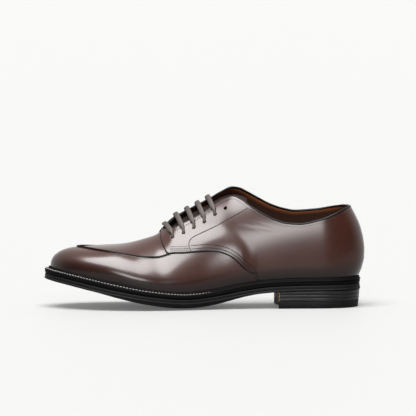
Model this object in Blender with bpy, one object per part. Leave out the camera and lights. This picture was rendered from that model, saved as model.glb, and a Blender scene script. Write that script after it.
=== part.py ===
# Left apron toe derby, built on the form of its last.
# Lengths below are millimetres. s runs along the shoe from the back of the heel to the toe,
# lateral is the outer side (-Y), medial the inner side (+Y), and the floor is z = 0.
import bmesh
import bpy
import numpy as np
from mathutils import Matrix, Vector

MM = 0.001
GAP = 0.3

# Driving sizes
SOLE_BACK = -0.9
SOLE_TIP = 302.0
HEEL_BULGE = -5.2
HEEL_CAP_START = 40.0
HEEL_CAP_POWER = 2.2
BALL = 205.0
TOE_CAP_POWER = 2.05
TOE_SWING = 5.0
S_MIDDLE = (SOLE_TIP + HEEL_BULGE) / 2
Y_MIDDLE = 0.75

WELT = 4.0
STORM_LIP = 2.6
LIP_WALL = 1.3
OUTSOLE = 5.3
TREAD_CROWN = 1.2
WALL = 2.0
INSOLE = 4.2
TONGUE = 2.2

TOE_TOP = 262.0
TOE_LENGTH = 34.5
TOE_ROUND = 2.5
CAP_FADE = 0.5
BULGE_HEIGHT = 13.0
SKIRT_TOP = STORM_LIP + 0.2
SKIRT_CLEAR = 0.75
BED_CLEAR = 0.45
INSOLE_CLEAR = 0.9
WELT_CLEAR = 0.5
FIRST_ROW = 1.4

SEAM_HALF = 0.018
SEAM_BEAD = 1.0
SEAM_RATE = 48.0
QUARTER_STEP = 1.3
QUARTER_FULL = 8.0
QUARTER_FADE = 22.0
QUARTER_START = 100.0
QUARTER_RISE = 14.0
TAB_REACH = 6.0
TAB_CORNER = 185.8
THROAT = 188.0
TAB_BOW = 16.8

HEEL_BREAST = 79.7
BREAST_HOLLOW = 3.0
SEAT = 16.2
LIFT_INSET = 0.4
LIFT_EDGE = 0.35
TOP_LIFT = 6.6
LIFTS = 3
HEEL_TAPER = 1.5

EYELETS = 6
EYELET_FIRST = 180.0
EYELET_PITCH = 10.0
EYELET_SHIFT = 2.0
EYELET_INSET = 12.0
EYELET_RADIUS = 2.2
LACED = 5
LACE_THICK = 1.7
LACE_CLEAR = 0.8
LACE_LEAN = 4.0
LACE_WIDEN = 1.25

TONGUE_REACH = 1.15
TONGUE_END = 112.0
TONGUE_END_SHARE = 0.82
TOE_ANGLE_AT = 270.0

BACK_STEPS = 28
HEEL_STEPS = 7
THROAT_STEP = 2.5
FRONT_STEPS = 19


def table(names, *rows):
    """A short table as named columns."""
    return dict(zip(names, np.array(rows, float).T))


# Plan of the outsole, before its round ends: half widths, and how far the welt stands out
PLAN = table(
    ("s", "lateral", "medial", "flange"),
    (0, 34.0, 33.5, 2.2),
    (60, 34.5, 33.0, 2.2),
    (95, 34.5, 28.5, 2.4),
    (120, 36.0, 27.5, 2.6),
    (145, 41.0, 30.5, 3.2),
    (160, 45.2, 35.2, 3.6),
    (175, 48.8, 40.8, 4.0),
    (190, 51.4, 45.8, 4.3),
    (BALL, 52.8, 49.6, 4.5),
    (225, 53.2, 51.6, 4.7),
    (SOLE_TIP, 53.2, 52.0, 5.5),
)

# Side view: top of the welt at its edge, and how far the sole dips across its middle
SIDE = table(
    ("s", "welt_top", "dish"),
    (-5, 27.0, 0.0),
    (30, 26.6, 0.0),
    (60, 26.3, 0.0),
    (89, 25.0, 0.6),
    (113, 21.9, 2.6),
    (141, 16.9, 4.8),
    (168, 14.5, 5.7),
    (204, 17.9, 5.2),
    (232, 23.0, 4.0),
    (257, 28.4, 2.0),
    (280, 33.4, 0.7),
    (SOLE_TIP, 37.6, 0.2),
)

# Last: crown height and its shift to the medial side, roundness of each side's section,
# and how far the wall swells past the feather line
LAST = table(
    ("s", "crown", "shift", "round_lateral", "round_medial", "swell"),
    (-5, 127.0, 0.0, 2.3, 2.3, 1.5),
    (40, 126.0, 1.0, 2.3, 2.3, 3.0),
    (80, 123.0, 3.0, 2.2, 2.2, 3.0),
    (100, 121.0, 5.0, 2.1, 2.1, 3.0),
    (120, 117.0, 6.0, 2.0, 2.0, 3.0),
    (132, 111.5, 6.5, 1.8, 1.95, 3.0),
    (143, 105.5, 7.0, 1.68, 1.9, 3.0),
    (152, 100.3, 7.0, 1.6, 1.9, 3.0),
    (162, 95.0, 7.0, 1.55, 1.9, 3.0),
    (172, 89.3, 7.0, 1.52, 1.85, 3.2),
    (181, 83.0, 6.5, 1.52, 1.8, 3.2),
    (184, 80.0, 6.5, 1.53, 1.8, 3.2),
    (188, 74.0, 6.0, 1.56, 1.8, 3.2),
    (192, 69.8, 6.0, 1.6, 1.8, 3.2),
    (207, 65.0, 5.0, 1.8, 1.85, 3.2),
    (217, 62.2, 4.5, 1.95, 1.95, 3.0),
    (228, 60.3, 4.0, 2.3, 2.25, 2.8),
    (243, 59.3, 2.5, 2.75, 2.7, 2.2),
    (TOE_TOP, 58.4, 1.0, 2.9, 2.9, 1.0),
    (SOLE_TIP, 57.6, 0.0, TOE_ROUND, TOE_ROUND, 0.0),
)

# Back of the heel in side view
BACK = table(
    ("z", "s"),
    (20, 1.3),
    (28, 1.3),
    (32, -0.6),
    (39, -3.2),
    (48, -5.0),
    (55, HEEL_BULGE),
    (65, -4.1),
    (74, -2.0),
    (80, 0.0),
    (85, 2.2),
    (91, 5.2),
    (97, 8.6),
    (127, 22.0),
)

# Height of the topline and of the facing edges
EDGE = table(
    ("s", "lateral", "medial"),
    (5, 96.4, 96.4),
    (12, 95.4, 96.0),
    (20, 92.0, 94.6),
    (40, 84.5, 91.2),
    (60, 80.8, 90.0),
    (72, 81.6, 92.2),
    (84, 85.1, 96.4),
    (95, 90.7, 102.2),
    (107, 98.4, 109.0),
    (115, 104.2, 113.0),
    (122, 106.9, 114.3),
    (132, 103.9, 110.0),
    (141, 98.0, 104.6),
    (149, 92.4, 100.4),
    (160, 86.0, 94.8),
    (170, 80.5, 89.0),
    (178, 76.2, 84.0),
    (184, 74.6, 78.8),
    (THROAT, 74.0, 74.0),
)

# Share of the section's height at the apron's seam and, behind the tab, at the quarter's lower edge
SEAM = table(
    ("s", "share"),
    (-5, 0.18),
    (60, 0.17),
    (92, 0.13),
    (104, 0.105),
    (109, 0.135),
    (114, 0.19),
    (121, 0.28),
    (129, 0.355),
    (138, 0.415),
    (150, 0.465),
    (164, 0.50),
    (174, 0.53),
    (186, 0.60),
    (198, 0.645),
    (209, 0.685),
    (224, 0.78),
    (245, 0.89),
    (256, 0.935),
    (TOE_TOP, 0.965),
    (269, 0.992),
    (SOLE_TIP, 0.992),
)


def read(rows, column, x):
    """Smooth value of a table's column at x, never past its neighbouring rows."""
    names = list(rows)
    xs, ys = rows[names[0]], rows[column]
    step = np.diff(xs)
    slope = np.diff(ys) / step
    total = np.where(slope[:-1] + slope[1:] == 0, 1, slope[:-1] + slope[1:])
    inner = np.where(slope[:-1] * slope[1:] > 0, 2 * slope[:-1] * slope[1:] / total, 0)
    tangent = np.concatenate(([slope[0]], inner, [slope[-1]]))
    x = np.clip(np.asarray(x, float), xs[0], xs[-1])
    i = np.clip(np.searchsorted(xs, x) - 1, 0, len(xs) - 2)
    t = (x - xs[i]) / step[i]
    return ((2 * t**3 - 3 * t**2 + 1) * ys[i] + (t**3 - 2 * t**2 + t) * step[i] * tangent[i]
            + (3 * t**2 - 2 * t**3) * ys[i + 1] + (t**3 - t**2) * step[i] * tangent[i + 1])


def side_name(side):
    return "lateral" if side < 0 else "medial"


def swing(s):
    """The centre line bends to the medial side in front of the ball."""
    ahead = np.clip((s - BALL) / (SOLE_TIP - BALL), 0, 1)
    return TOE_SWING * ahead**2


def end_caps(s, back, tip, start=BALL):
    """Share of the width that the round heel and toe leave at s."""
    ahead = np.clip((s - start) / (tip - start), 0, 1)
    behind = np.clip((HEEL_CAP_START - s) / (HEEL_CAP_START - back), 0, 1)
    return ((1 - ahead**TOE_CAP_POWER) ** (1 / TOE_CAP_POWER)
            * (1 - behind**HEEL_CAP_POWER) ** (1 / HEEL_CAP_POWER))


def outline_ends(inward, offset):
    """Back and tip of an outline: inward 0 is the sole's edge, 1 the feather line."""
    back = SOLE_BACK + inward * PLAN["flange"][0] + offset
    tip = SOLE_TIP - inward * PLAN["flange"][-1] - offset
    return back, tip


def half_width(side, s, inward, offset):
    """Half width of such an outline at s."""
    back, tip = outline_ends(inward, offset)
    width = read(PLAN, side_name(side), s) - inward * read(PLAN, "flange", s) - offset
    return width * end_caps(s, back, tip)


def dish(s, y):
    """Depth of the sole's dip below its edge, a parabola across the shoe."""
    edge = np.where(y < swing(s), read(PLAN, "lateral", s), read(PLAN, "medial", s))
    return read(SIDE, "dish", s) * (1 - ((y - swing(s)) / edge) ** 2)


def bed(s, y):
    """Top of the outsole, on which welt, upper and insole stand."""
    return read(SIDE, "welt_top", s) - WELT - GAP - dish(s, y)


def tread(s, y):
    """Underside of the outsole, pressed flat where it meets the floor."""
    return np.maximum(read(SIDE, "welt_top", s) - WELT - GAP - OUTSOLE - TREAD_CROWN * dish(s, y), 0)


def world(s, y, z):
    """Shoe sizes to metres in the part's frame: the toe points to -X."""
    return np.stack([S_MIDDLE - s, y + Y_MIDDLE, z], axis=-1) * MM


def section(s, side, phi):
    """Width and height of the last's section at angle phi, 0 at the feather and pi/2 at the crown."""
    power = 2 / read(LAST, "round_" + side_name(side), s)
    return np.cos(phi) ** power, np.sin(phi) ** power


def swell(s, z):
    """How far the wall stands outside the feather line at height z."""
    low = read(SIDE, "welt_top", s) + SKIRT_TOP
    rise = np.clip((z - low) / BULGE_HEIGHT, 0, 1)
    return read(LAST, "swell", s) * (1 - (1 - rise) ** 2)


def toe_cap(tip):
    """Where the round toe begins on the line that ends at tip: the higher the line, the shorter its cap."""
    feather = SOLE_TIP - PLAN["flange"][-1]
    share = np.clip((tip - TOE_TOP) / (feather - TOE_TOP), 0.01, 1)
    return tip - (feather - BALL) * share**CAP_FADE


def last_point(s, side, phi, tip):
    """A point of the last's surface; tip is where its line of constant phi ends at the toe."""
    wide, high = section(s, side, phi)
    foot = read(SIDE, "welt_top", s)
    z = foot + (read(LAST, "crown", s) - foot) * high
    width = read(PLAN, side_name(side), s) - read(PLAN, "flange", s) + swell(s, z)
    back = read(BACK, "s", z)
    shift = read(LAST, "shift", s)
    y = swing(s) + shift * (1 - wide) + side * width * end_caps(s, back, tip, toe_cap(tip)) * wide
    return s, y, z


def angle_of(s, side, height):
    """Angle phi whose point stands at the given height."""
    foot = read(SIDE, "welt_top", s)
    share = np.clip((height - foot) / (read(LAST, "crown", s) - foot), 0, 1)
    return np.arcsin(share ** (read(LAST, "round_" + side_name(side), s) / 2))


def seam_angle(s, side):
    return np.arcsin(read(SEAM, "share", s) ** (read(LAST, "round_" + side_name(side), s) / 2))


def top_angle(s, side):
    """Angle of the topline, or of the crown where the vamp is closed."""
    edge = angle_of(s, side, read(EDGE, side_name(side), s))
    return np.where(s >= THROAT, np.pi / 2, edge)


# Rows of the upper from the feather to the top, as shares of the two stretches around the seam
LOW_ROWS = (0.0, 0.14, 0.32, 0.54, 0.78)
HIGH_ROWS = (0.12, 0.26, 0.42, 0.60, 0.80, 1.0)
SKIRT = 2
SEAM_ROW = SKIRT + len(LOW_ROWS) + 1
ROWS = SEAM_ROW + 2 + len(HIGH_ROWS)
INNER_ROWS = (0, 1, 3, 5, SEAM_ROW, SEAM_ROW + 3, SEAM_ROW + 5, ROWS - 1)


def row_angle(row, s, side):
    seam = seam_angle(s, side)
    if row < SKIRT:
        return np.zeros_like(s)
    if row < SEAM_ROW - 1:
        start = angle_of(s, side, read(SIDE, "welt_top", s) + SKIRT_TOP + FIRST_ROW)
        return start + (seam - SEAM_HALF - start) * LOW_ROWS[row - SKIRT]
    if row <= SEAM_ROW + 1:
        return seam + SEAM_HALF * (row - SEAM_ROW)
    start = seam + SEAM_HALF
    return start + (top_angle(s, side) - start) * HIGH_ROWS[row - SEAM_ROW - 2]


def ease(count):
    """Even angles turned to shares that crowd at both ends."""
    return (1 - np.cos(np.pi * np.arange(count + 1) / count)) / 2


def row_stations(row, side):
    """Places s of a row's points, from the centre back to the tab's front and on to the toe."""
    toe_angle = row_angle(row, np.array([TOE_ANGLE_AT]), side)[0]
    tip = TOE_TOP + TOE_LENGTH * np.cos(toe_angle) ** (2 / TOE_ROUND)
    if row < SKIRT:
        back = outline_ends(1, 0)[0]
    else:
        s_back = np.array([0.0])
        for _ in range(4):
            z_back = last_point(s_back, side, row_angle(row, s_back, side), tip)[2]
            s_back = read(BACK, "s", z_back)
        back = s_back[0]
    up = max(0, row - SEAM_ROW) / (ROWS - 1 - SEAM_ROW)
    tab = TAB_CORNER + (THROAT - TAB_CORNER) * up + TAB_BOW * up * (1 - up)
    round_heel = back + (HEEL_CAP_START - back) * (1 - np.cos(np.pi / 2 * np.arange(HEEL_STEPS) / HEEL_STEPS))
    shank = HEEL_CAP_START + (tab - THROAT_STEP - HEEL_CAP_START) * np.linspace(0, 1, BACK_STEPS - HEEL_STEPS)
    first = np.concatenate([round_heel, shank, [tab]])
    second = tab + (tip - tab) * ease(FRONT_STEPS)
    return np.concatenate([first, second[1:]]), tip


def quarter_thickness(reach):
    """The quarter's step, full near its edge and faded into the last further in."""
    fade = np.clip((reach - QUARTER_FULL) / QUARTER_FADE, 0, 1)
    return QUARTER_STEP * (1 - fade**2 * (3 - 2 * fade))


def quarter_edge(row, s, side, phi):
    """Thickness that the quarter or the apron's seam adds outside the wall."""
    ahead = np.arange(len(s)) > BACK_STEPS
    if row < SEAM_ROW:
        return np.zeros_like(s)
    bead = {SEAM_ROW: SEAM_BEAD, SEAM_ROW + 1: SEAM_BEAD * 0.25}.get(row, 0.0)
    reach = np.minimum((phi - seam_angle(s, side)) * SEAM_RATE, TAB_CORNER + TAB_REACH - s)
    start = np.clip((s - QUARTER_START) / QUARTER_RISE, 0, 1)
    return np.where(ahead, bead, quarter_thickness(reach) * start)


def upper_grid(side):
    """Base points of one side of the upper, rows by stations, and what is laid on them."""
    points, extra = [], []
    for row in range(ROWS):
        s, tip = row_stations(row, side)
        phi = row_angle(row, s, side)
        if row < SKIRT:
            y = swing(s) + side * half_width(side, s, 1, 0)
            z = bed(s, y) + SKIRT_CLEAR if row == 0 else read(SIDE, "welt_top", s) + SKIRT_TOP
        else:
            s, y, z = last_point(s, side, phi, tip)
        points.append(np.stack([s, y, z], axis=-1))
        extra.append(quarter_edge(row, s, side, phi))
    return np.array(points), np.array(extra)


def ring(lateral, medial):
    """Joins two sides, each from heel to toe, into loops that run round the shoe."""
    return np.concatenate([lateral, medial[:, -2:0:-1]], axis=1)


def loop_normals(points):
    """Outward unit normals of a grid of closed loops, ordered from low rows to high rows."""
    along = np.roll(points, -1, axis=1) - np.roll(points, 1, axis=1)
    up = np.gradient(points, axis=0)
    normal = np.cross(along, up)
    size = np.linalg.norm(normal, axis=-1, keepdims=True)
    return normal / np.maximum(size, 1e-9)


def material(name, colour, roughness):
    made = bpy.data.materials.new(name)
    made.use_nodes = True
    shader = made.node_tree.nodes["Principled BSDF"]
    shader.inputs["Base Color"].default_value = (*colour, 1)
    shader.inputs["Roughness"].default_value = roughness
    shader.inputs["Metallic"].default_value = 0.0
    return made


def solid(name, vertices, faces, finish):
    """One closed mesh object from millimetre points and faces, with its doubles merged."""
    flat = np.asarray(vertices, float).reshape(-1, 3)
    mesh = bpy.data.meshes.new(name)
    mesh.from_pydata(world(flat[:, 0], flat[:, 1], flat[:, 2]).tolist(), [], faces)
    work = bmesh.new()
    work.from_mesh(mesh)
    bmesh.ops.remove_doubles(work, verts=work.verts, dist=0.00001)
    bmesh.ops.dissolve_degenerate(work, edges=work.edges, dist=0.000001)
    bmesh.ops.triangulate(work, faces=work.faces)
    bmesh.ops.recalc_face_normals(work, faces=work.faces)
    work.to_mesh(mesh)
    work.free()
    mesh.materials.append(finish)
    mesh.shade_smooth()
    made = bpy.data.objects.new(name, mesh)
    bpy.context.collection.objects.link(made)
    return made


def bands(first, second, count):
    """Quads between two closed loops of count points that start at the given indices."""
    here = np.arange(count)
    after = (here + 1) % count
    return np.stack([first + here, first + after, second + after, second + here], axis=1).tolist()


def grid_faces(start, rows, columns):
    """Quads of an open grid."""
    r, c = np.meshgrid(np.arange(rows - 1), np.arange(columns - 1), indexing="ij")
    a = (start + r * columns + c).ravel()
    return np.stack([a, a + 1, a + columns + 1, a + columns], axis=1).tolist()


def build_upper(finish):
    sides = {side: upper_grid(side) for side in (-1, 1)}
    base = ring(sides[-1][0], sides[1][0])
    extra = ring(sides[-1][1], sides[1][1])
    normal = loop_normals(base)
    normal[:SKIRT, :, 2] = 0
    normal /= np.linalg.norm(normal, axis=-1, keepdims=True)
    columns = base.shape[1]
    stations = BACK_STEPS + FRONT_STEPS
    crown = np.arange(BACK_STEPS, stations + 1)
    mirror = (columns - crown) % columns
    shared = normal[-1, crown] + normal[-1, mirror]
    shared /= np.linalg.norm(shared, axis=-1, keepdims=True)
    normal[-1, crown] = shared
    normal[-1, mirror] = shared
    outer = base + normal * extra[..., None]
    inner = (base - normal * WALL)[list(INNER_ROWS)]
    vertices = np.concatenate([outer.reshape(-1, 3), inner.reshape(-1, 3)])
    inside = ROWS * columns
    faces = []
    for row in range(ROWS - 1):
        faces += bands(row * columns, (row + 1) * columns, columns)
    for row in range(len(INNER_ROWS) - 1):
        faces += bands(inside + (row + 1) * columns, inside + row * columns, columns)
    faces += bands(inside, 0, columns)
    top_outer = (ROWS - 1) * columns
    top_inner = inside + (len(INNER_ROWS) - 1) * columns
    for here in range(columns):
        after = (here + 1) % columns
        closed = BACK_STEPS <= here <= columns - BACK_STEPS and BACK_STEPS <= after <= columns - BACK_STEPS
        if not closed:
            faces.append([top_outer + here, top_outer + after, top_inner + after, top_inner + here])
    return solid("upper", vertices, faces, finish)


def station_grid(inward, offset, across, breast=None, count=36):
    """Points of an outline's inside, stations by points across it."""
    back, tip = outline_ends(inward, offset)
    share = ease(count)
    span = np.linspace(-1, 1, across + 1)
    if breast is None:
        s = np.repeat((back + (tip - back) * share)[:, None], across + 1, axis=1)
    else:
        front = breast - BREAST_HOLLOW * (1 - span**2)
        quarter_turn = 1 - np.cos(np.pi / 2 * np.arange(count + 1) / count)
        s = back + (front[None, :] - back) * quarter_turn[:, None]
    wide = np.where(span < 0, half_width(-1, s, inward, offset), half_width(1, s, inward, offset))
    return s, swing(s) + wide * span


def border(rows, columns):
    """Grid indices round the edge of an open grid, as one loop."""
    index = np.arange(rows * columns).reshape(rows, columns)
    return np.concatenate([index[0, :], index[1:, -1], index[-1, -2::-1], index[-2:0:-1, 0]])


def plate(name, finish, under, levels, over, across=8, breast=None, count=36):
    """A solid between two full surfaces, with extra loops round its edge.

    under and over are (inward, offset, height function), and levels are the loops between them.
    """
    vertices, faces, loops = [], [], []
    start = 0
    for full, (inward, offset, height) in [(True, under)] + [(False, row) for row in levels] + [(True, over)]:
        s, y = station_grid(inward, offset, across, breast, count)
        z = height(s, y)
        points = np.stack([s, y, z + 0 * s], axis=-1)
        rim = border(*s.shape)
        if full:
            vertices.append(points.reshape(-1, 3))
            faces += grid_faces(start, *s.shape)
            loops.append(start + rim)
            start += s.size
        else:
            vertices.append(points.reshape(-1, 3)[rim])
            loops.append(start + np.arange(len(rim)))
            start += len(rim)
    for low, high in zip(loops, loops[1:]):
        low_after, high_after = np.roll(low, -1), np.roll(high, -1)
        faces += np.stack([low, low_after, high_after, high], axis=1).tolist()
    return solid(name, np.concatenate(vertices), faces, finish)


def build_outsole(finish):
    """The outsole: a lip at its lower edge, a shallow step above it, and its side under the welt."""
    def part_way(share):
        return lambda s, y: tread(s, y) + (bed(s, y) - tread(s, y)) * share
    levels = [
        (0, -0.2, part_way(0.10)),
        (0, -0.2, part_way(0.38)),
        (0, 0.5, part_way(0.50)),
        (0, 0.5, part_way(0.88)),
    ]
    return plate("outsole", finish, (0, 0.4, tread), levels, (0, 1.1, bed), across=10, count=36)


def build_insole(finish):
    inside = WALL + INSOLE_CLEAR

    def top(s, y):
        return bed(s, y) + BED_CLEAR + INSOLE

    def bottom(s, y):
        return bed(s, y) + BED_CLEAR
    return plate("insole", finish, (1, inside, bottom), [], (1, inside, top), across=6, count=30)


def build_heel(leather, rubber):
    """Three leather lifts under the outsole's seat, and the rubber top lift on the floor."""
    lift = (SEAT - TOP_LIFT) / LIFTS - GAP
    floors = [("heel_top_lift", 0.0, TOP_LIFT, rubber)]
    for number in range(LIFTS):
        low = TOP_LIFT + GAP + number * (lift + GAP)
        floors.append((f"heel_lift_{number + 1}", low, low + lift, leather))
    for number, (name, low, high, finish) in enumerate(floors):
        last = number == LIFTS

        def top(s, y, drop=0.0, high=high, last=last):
            return (tread(s, y) - GAP if last else high + 0 * s) - drop

        def bottom(s, y, rise=0.0, low=low):
            return low + rise + 0 * s
        inset_low = LIFT_INSET + HEEL_TAPER * (1 - low / SEAT)
        inset_high = LIFT_INSET + HEEL_TAPER * (1 - high / SEAT)
        plate(
            name, finish,
            (0, inset_low + LIFT_EDGE, bottom),
            [(0, inset_low, lambda s, y, f=bottom: f(s, y, LIFT_EDGE)),
             (0, inset_high, lambda s, y, f=top: f(s, y, LIFT_EDGE))],
            (0, inset_high + LIFT_EDGE, top),
            across=6, breast=HEEL_BREAST, count=16,
        )


def build_welt(finish):
    """A strip round the upper: a flange on the outsole and a lip turned up against the leather."""
    top = STORM_LIP
    profile = (
        (0, 0.9, "bed", BED_CLEAR),
        (0, 0.2, "bed", BED_CLEAR + 0.6),
        (0, 0.2, "welt_top", -0.9),
        (0, 0.9, "welt_top", 0.0),
        (1, -WELT_CLEAR - LIP_WALL - 0.5, "welt_top", 0.0),
        (1, -WELT_CLEAR - LIP_WALL, "welt_top", top - 0.8),
        (1, -WELT_CLEAR - LIP_WALL * 0.5, "welt_top", top),
        (1, -WELT_CLEAR, "welt_top", top - 0.6),
        (1, -WELT_CLEAR, "bed", BED_CLEAR),
    )
    loops = []
    for inward, offset, level, lift in profile:
        back, tip = outline_ends(inward, offset)
        s = back + (tip - back) * ease(BACK_STEPS + FRONT_STEPS - 3)
        sides = {}
        for side in (-1, 1):
            y = swing(s) + side * half_width(side, s, inward, offset)
            z = (bed(s, y) if level == "bed" else read(SIDE, "welt_top", s)) + lift
            sides[side] = np.stack([s, y, z], axis=-1)[None]
        loops.append(ring(sides[-1], sides[1])[0])
    columns = len(loops[0])
    faces = []
    for row in range(len(loops)):
        faces += bands(row * columns, ((row + 1) % len(loops)) * columns, columns)
    return solid("welt", np.concatenate(loops), faces, finish)


def surface(s, side, phi, lift):
    """A point at a distance above the last's surface, behind the toe's cap."""
    s = np.asarray(s, float)
    phi = np.asarray(phi, float)
    tip = SOLE_TIP - PLAN["flange"][-1]

    def at(where, angle):
        return np.stack(np.broadcast_arrays(*last_point(where, side, angle, tip)), axis=-1)
    here = at(s, phi)
    along = at(s + 0.5, phi) - at(s - 0.5, phi)
    low = np.clip(phi - 0.01, 0, np.pi / 2)
    high = np.clip(phi + 0.01, 0, np.pi / 2)
    up = at(s, high) - at(s, low)
    normal = np.cross(up, along) * side
    normal /= np.linalg.norm(normal, axis=-1, keepdims=True)
    return here + normal * np.asarray(lift)[..., None], normal


# Tongue: from under the vamp to just past the facings, at its depth below the wall
TONGUE_FIELDS = table(
    ("s", "lateral_reach", "medial_reach", "sink", "drop"),
    (110, 0.40, 0.40, 5.8, 9.0),
    (122, 0.46, 0.44, 5.8, 3.5),
    (134, 0.46, 0.44, 5.8, 0.6),
    (150, 0.46, 0.44, 5.8, 0.0),
    (178, 0.40, 0.40, 5.6, 0.0),
    (188, 0.36, 0.36, 3.9, 0.0),
    (200, 0.30, 0.30, WALL + GAP + 0.1, 0.0),
)


TONGUE_SPAN = [(-1, x) for x in (1.0, 0.75, 0.5, 0.25)] + [(1, x) for x in (0.0, 0.25, 0.5, 0.75, 1.0)]


def build_tongue(finish):
    s = np.array([109.5, 112, 118, 126, 134, 142, 150, 158, 166, 174, 181, 187, 192, 198], float)
    layers = []
    for depth in (0.0, TONGUE):
        sink = read(TONGUE_FIELDS, "sink", s) + depth
        columns = []
        for side, share in TONGUE_SPAN:
            reach = read(TONGUE_FIELDS, side_name(side) + "_reach", s)
            round_end = np.where(s < TONGUE_END, TONGUE_END_SHARE, 1.0)
            phi = np.pi / 2 - np.arcsin(reach * share * round_end) * TONGUE_REACH
            points = surface(s, side, phi, -sink)[0]
            points[:, 2] -= read(TONGUE_FIELDS, "drop", s)
            columns.append(points)
        layers.append(np.stack(columns, axis=1))
    vertices = np.concatenate([layer.reshape(-1, 3) for layer in layers])
    rows, columns = layers[0].shape[:2]
    size = rows * columns
    rim = border(rows, columns)
    after = np.roll(rim, -1)
    faces = grid_faces(0, rows, columns) + grid_faces(size, rows, columns)
    faces += np.stack([rim, after, after + size, rim + size], axis=1).tolist()
    return solid("tongue", vertices, faces, finish)


def eyelet(number, side):
    """Centre and outward direction of an eyelet, counted from the toe."""
    s = EYELET_FIRST - number * EYELET_PITCH + (EYELET_SHIFT if side > 0 else 0.0)
    top = float(top_angle(np.array([s]), side)[0])
    angles = np.linspace(top, top - 0.6, 61)
    points, _ = surface(np.full(61, s), side, angles, np.zeros(61))
    run = np.concatenate([[0], np.cumsum(np.linalg.norm(np.diff(points, axis=0), axis=1))])
    phi = float(np.interp(EYELET_INSET, run, angles))
    point, normal = surface(np.array([s]), side, np.array([phi]), np.array([0.0]))
    return point[0], normal[0], s, phi


def cut_eyelets(upper):
    cutters = bpy.data.collections.new("eyelet_cutters")
    bpy.context.scene.collection.children.link(cutters)
    for side in (-1, 1):
        for number in range(EYELETS):
            point, normal, _, _ = eyelet(number, side)
            mesh = bpy.data.meshes.new("eyelet_cutter")
            work = bmesh.new()
            bmesh.ops.create_cone(work, cap_ends=True, segments=10, radius1=EYELET_RADIUS * MM,
                                  radius2=EYELET_RADIUS * MM, depth=10 * MM)
            work.to_mesh(mesh)
            work.free()
            cutter = bpy.data.objects.new("eyelet_cutter", mesh)
            facing = Vector((-normal[0], normal[1], normal[2]))
            turn = facing.to_track_quat("Z", "Y").to_matrix().to_4x4()
            place = world(point[0], point[1], point[2])
            cutter.matrix_world = Matrix.Translation(Vector(place.tolist())) @ turn
            cutter.hide_render = True
            cutter.display_type = "WIRE"
            cutters.objects.link(cutter)
    cut = upper.modifiers.new("eyelets", "BOOLEAN")
    cut.operation = "DIFFERENCE"
    cut.operand_type = "COLLECTION"
    cut.collection = cutters
    cut.solver = "EXACT"


def laid_on(s):
    """How much the quarter's front stands on the wall where the lace crosses it."""
    return quarter_thickness(TAB_CORNER + TAB_REACH - s)


def lace_path():
    """The lace's middle line: bars over the facings, joined by runs under them."""
    above = LACE_THICK / 2 + LACE_CLEAR
    below = WALL + LACE_THICK / 2 + LACE_CLEAR
    path = []
    for number in range(LACED):
        order = (-1, 1) if number % 2 == 0 else (1, -1)
        start, end = (eyelet(number, side) for side in order)
        for share in np.linspace(0, 1, 9):
            across = share * 2 - 1
            side = order[0] if across < 0 else order[1]
            edge = start if across < 0 else end
            phi = edge[3] + (np.pi / 2 - edge[3]) * (1 - abs(across))
            s = start[2] + (end[2] - start[2]) * share + LACE_LEAN * 4 * share * (1 - share)
            ending = max(0.0, abs(across) - 0.75) / 0.25
            rise = above + laid_on(s) + GAP * (1 - ending)
            point, _ = surface(np.array([s]), side, np.array([phi]), np.array([rise]))
            path.append(point[0])
        if number < LACED - 1:
            follow = eyelet(number + 1, order[1])
            for hole in (end, follow):
                through = [hole[0] + hole[1] * lift for lift in (0.0, -below)]
                path += through if hole is end else through[::-1]
        else:
            path += [end[0], end[0] - end[1] * below]
    first = eyelet(0, -1)
    return [first[0] - first[1] * below, first[0]] + path


def build_laces(finish):
    nodes = np.array(lace_path())
    flat = world(nodes[:, 0], nodes[:, 1], nodes[:, 2])
    curve = bpy.data.curves.new("laces", "CURVE")
    curve.dimensions = "3D"
    curve.bevel_depth = LACE_THICK / 2 * MM * LACE_WIDEN
    curve.bevel_resolution = 2
    curve.use_fill_caps = True
    curve.twist_mode = "MINIMUM"
    spline = curve.splines.new("POLY")
    spline.points.add(len(flat) - 1)
    spline.points.foreach_set("co", np.column_stack([flat, np.ones(len(flat))]).ravel())
    curve.materials.append(finish)
    made = bpy.data.objects.new("laces", curve)
    bpy.context.collection.objects.link(made)
    return made


def clear_scene():
    for thing in list(bpy.data.objects):
        bpy.data.objects.remove(thing, do_unlink=True)


def build_shoe():
    brown = material("brown_leather", (0.075, 0.030, 0.022), 0.28)
    black = material("black_edge", (0.012, 0.012, 0.013), 0.42)
    rubber = material("black_rubber", (0.015, 0.015, 0.016), 0.55)
    tan = material("tan_lining", (0.42, 0.20, 0.085), 0.6)
    lining = material("tongue_leather", (0.035, 0.018, 0.014), 0.5)
    cord = material("lace_cord", (0.10, 0.075, 0.062), 0.75)
    upper = build_upper(brown)
    cut_eyelets(upper)
    build_welt(black)
    build_outsole(rubber)
    build_insole(tan)
    build_heel(black, rubber)
    build_tongue(lining)
    build_laces(cord)


clear_scene()
build_shoe()
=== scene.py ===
# %% [markdown]
# # A left derby shoe with an apron toe
# A welted leather shoe is drawn over a last, a block with the form of a foot. Every piece here is a
# surface worked out with numpy from that last: rows run up the shoe and columns run round it.
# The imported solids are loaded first. They stay where they are, and each finer piece stands for one.

# %% Start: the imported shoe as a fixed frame
import math

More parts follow.
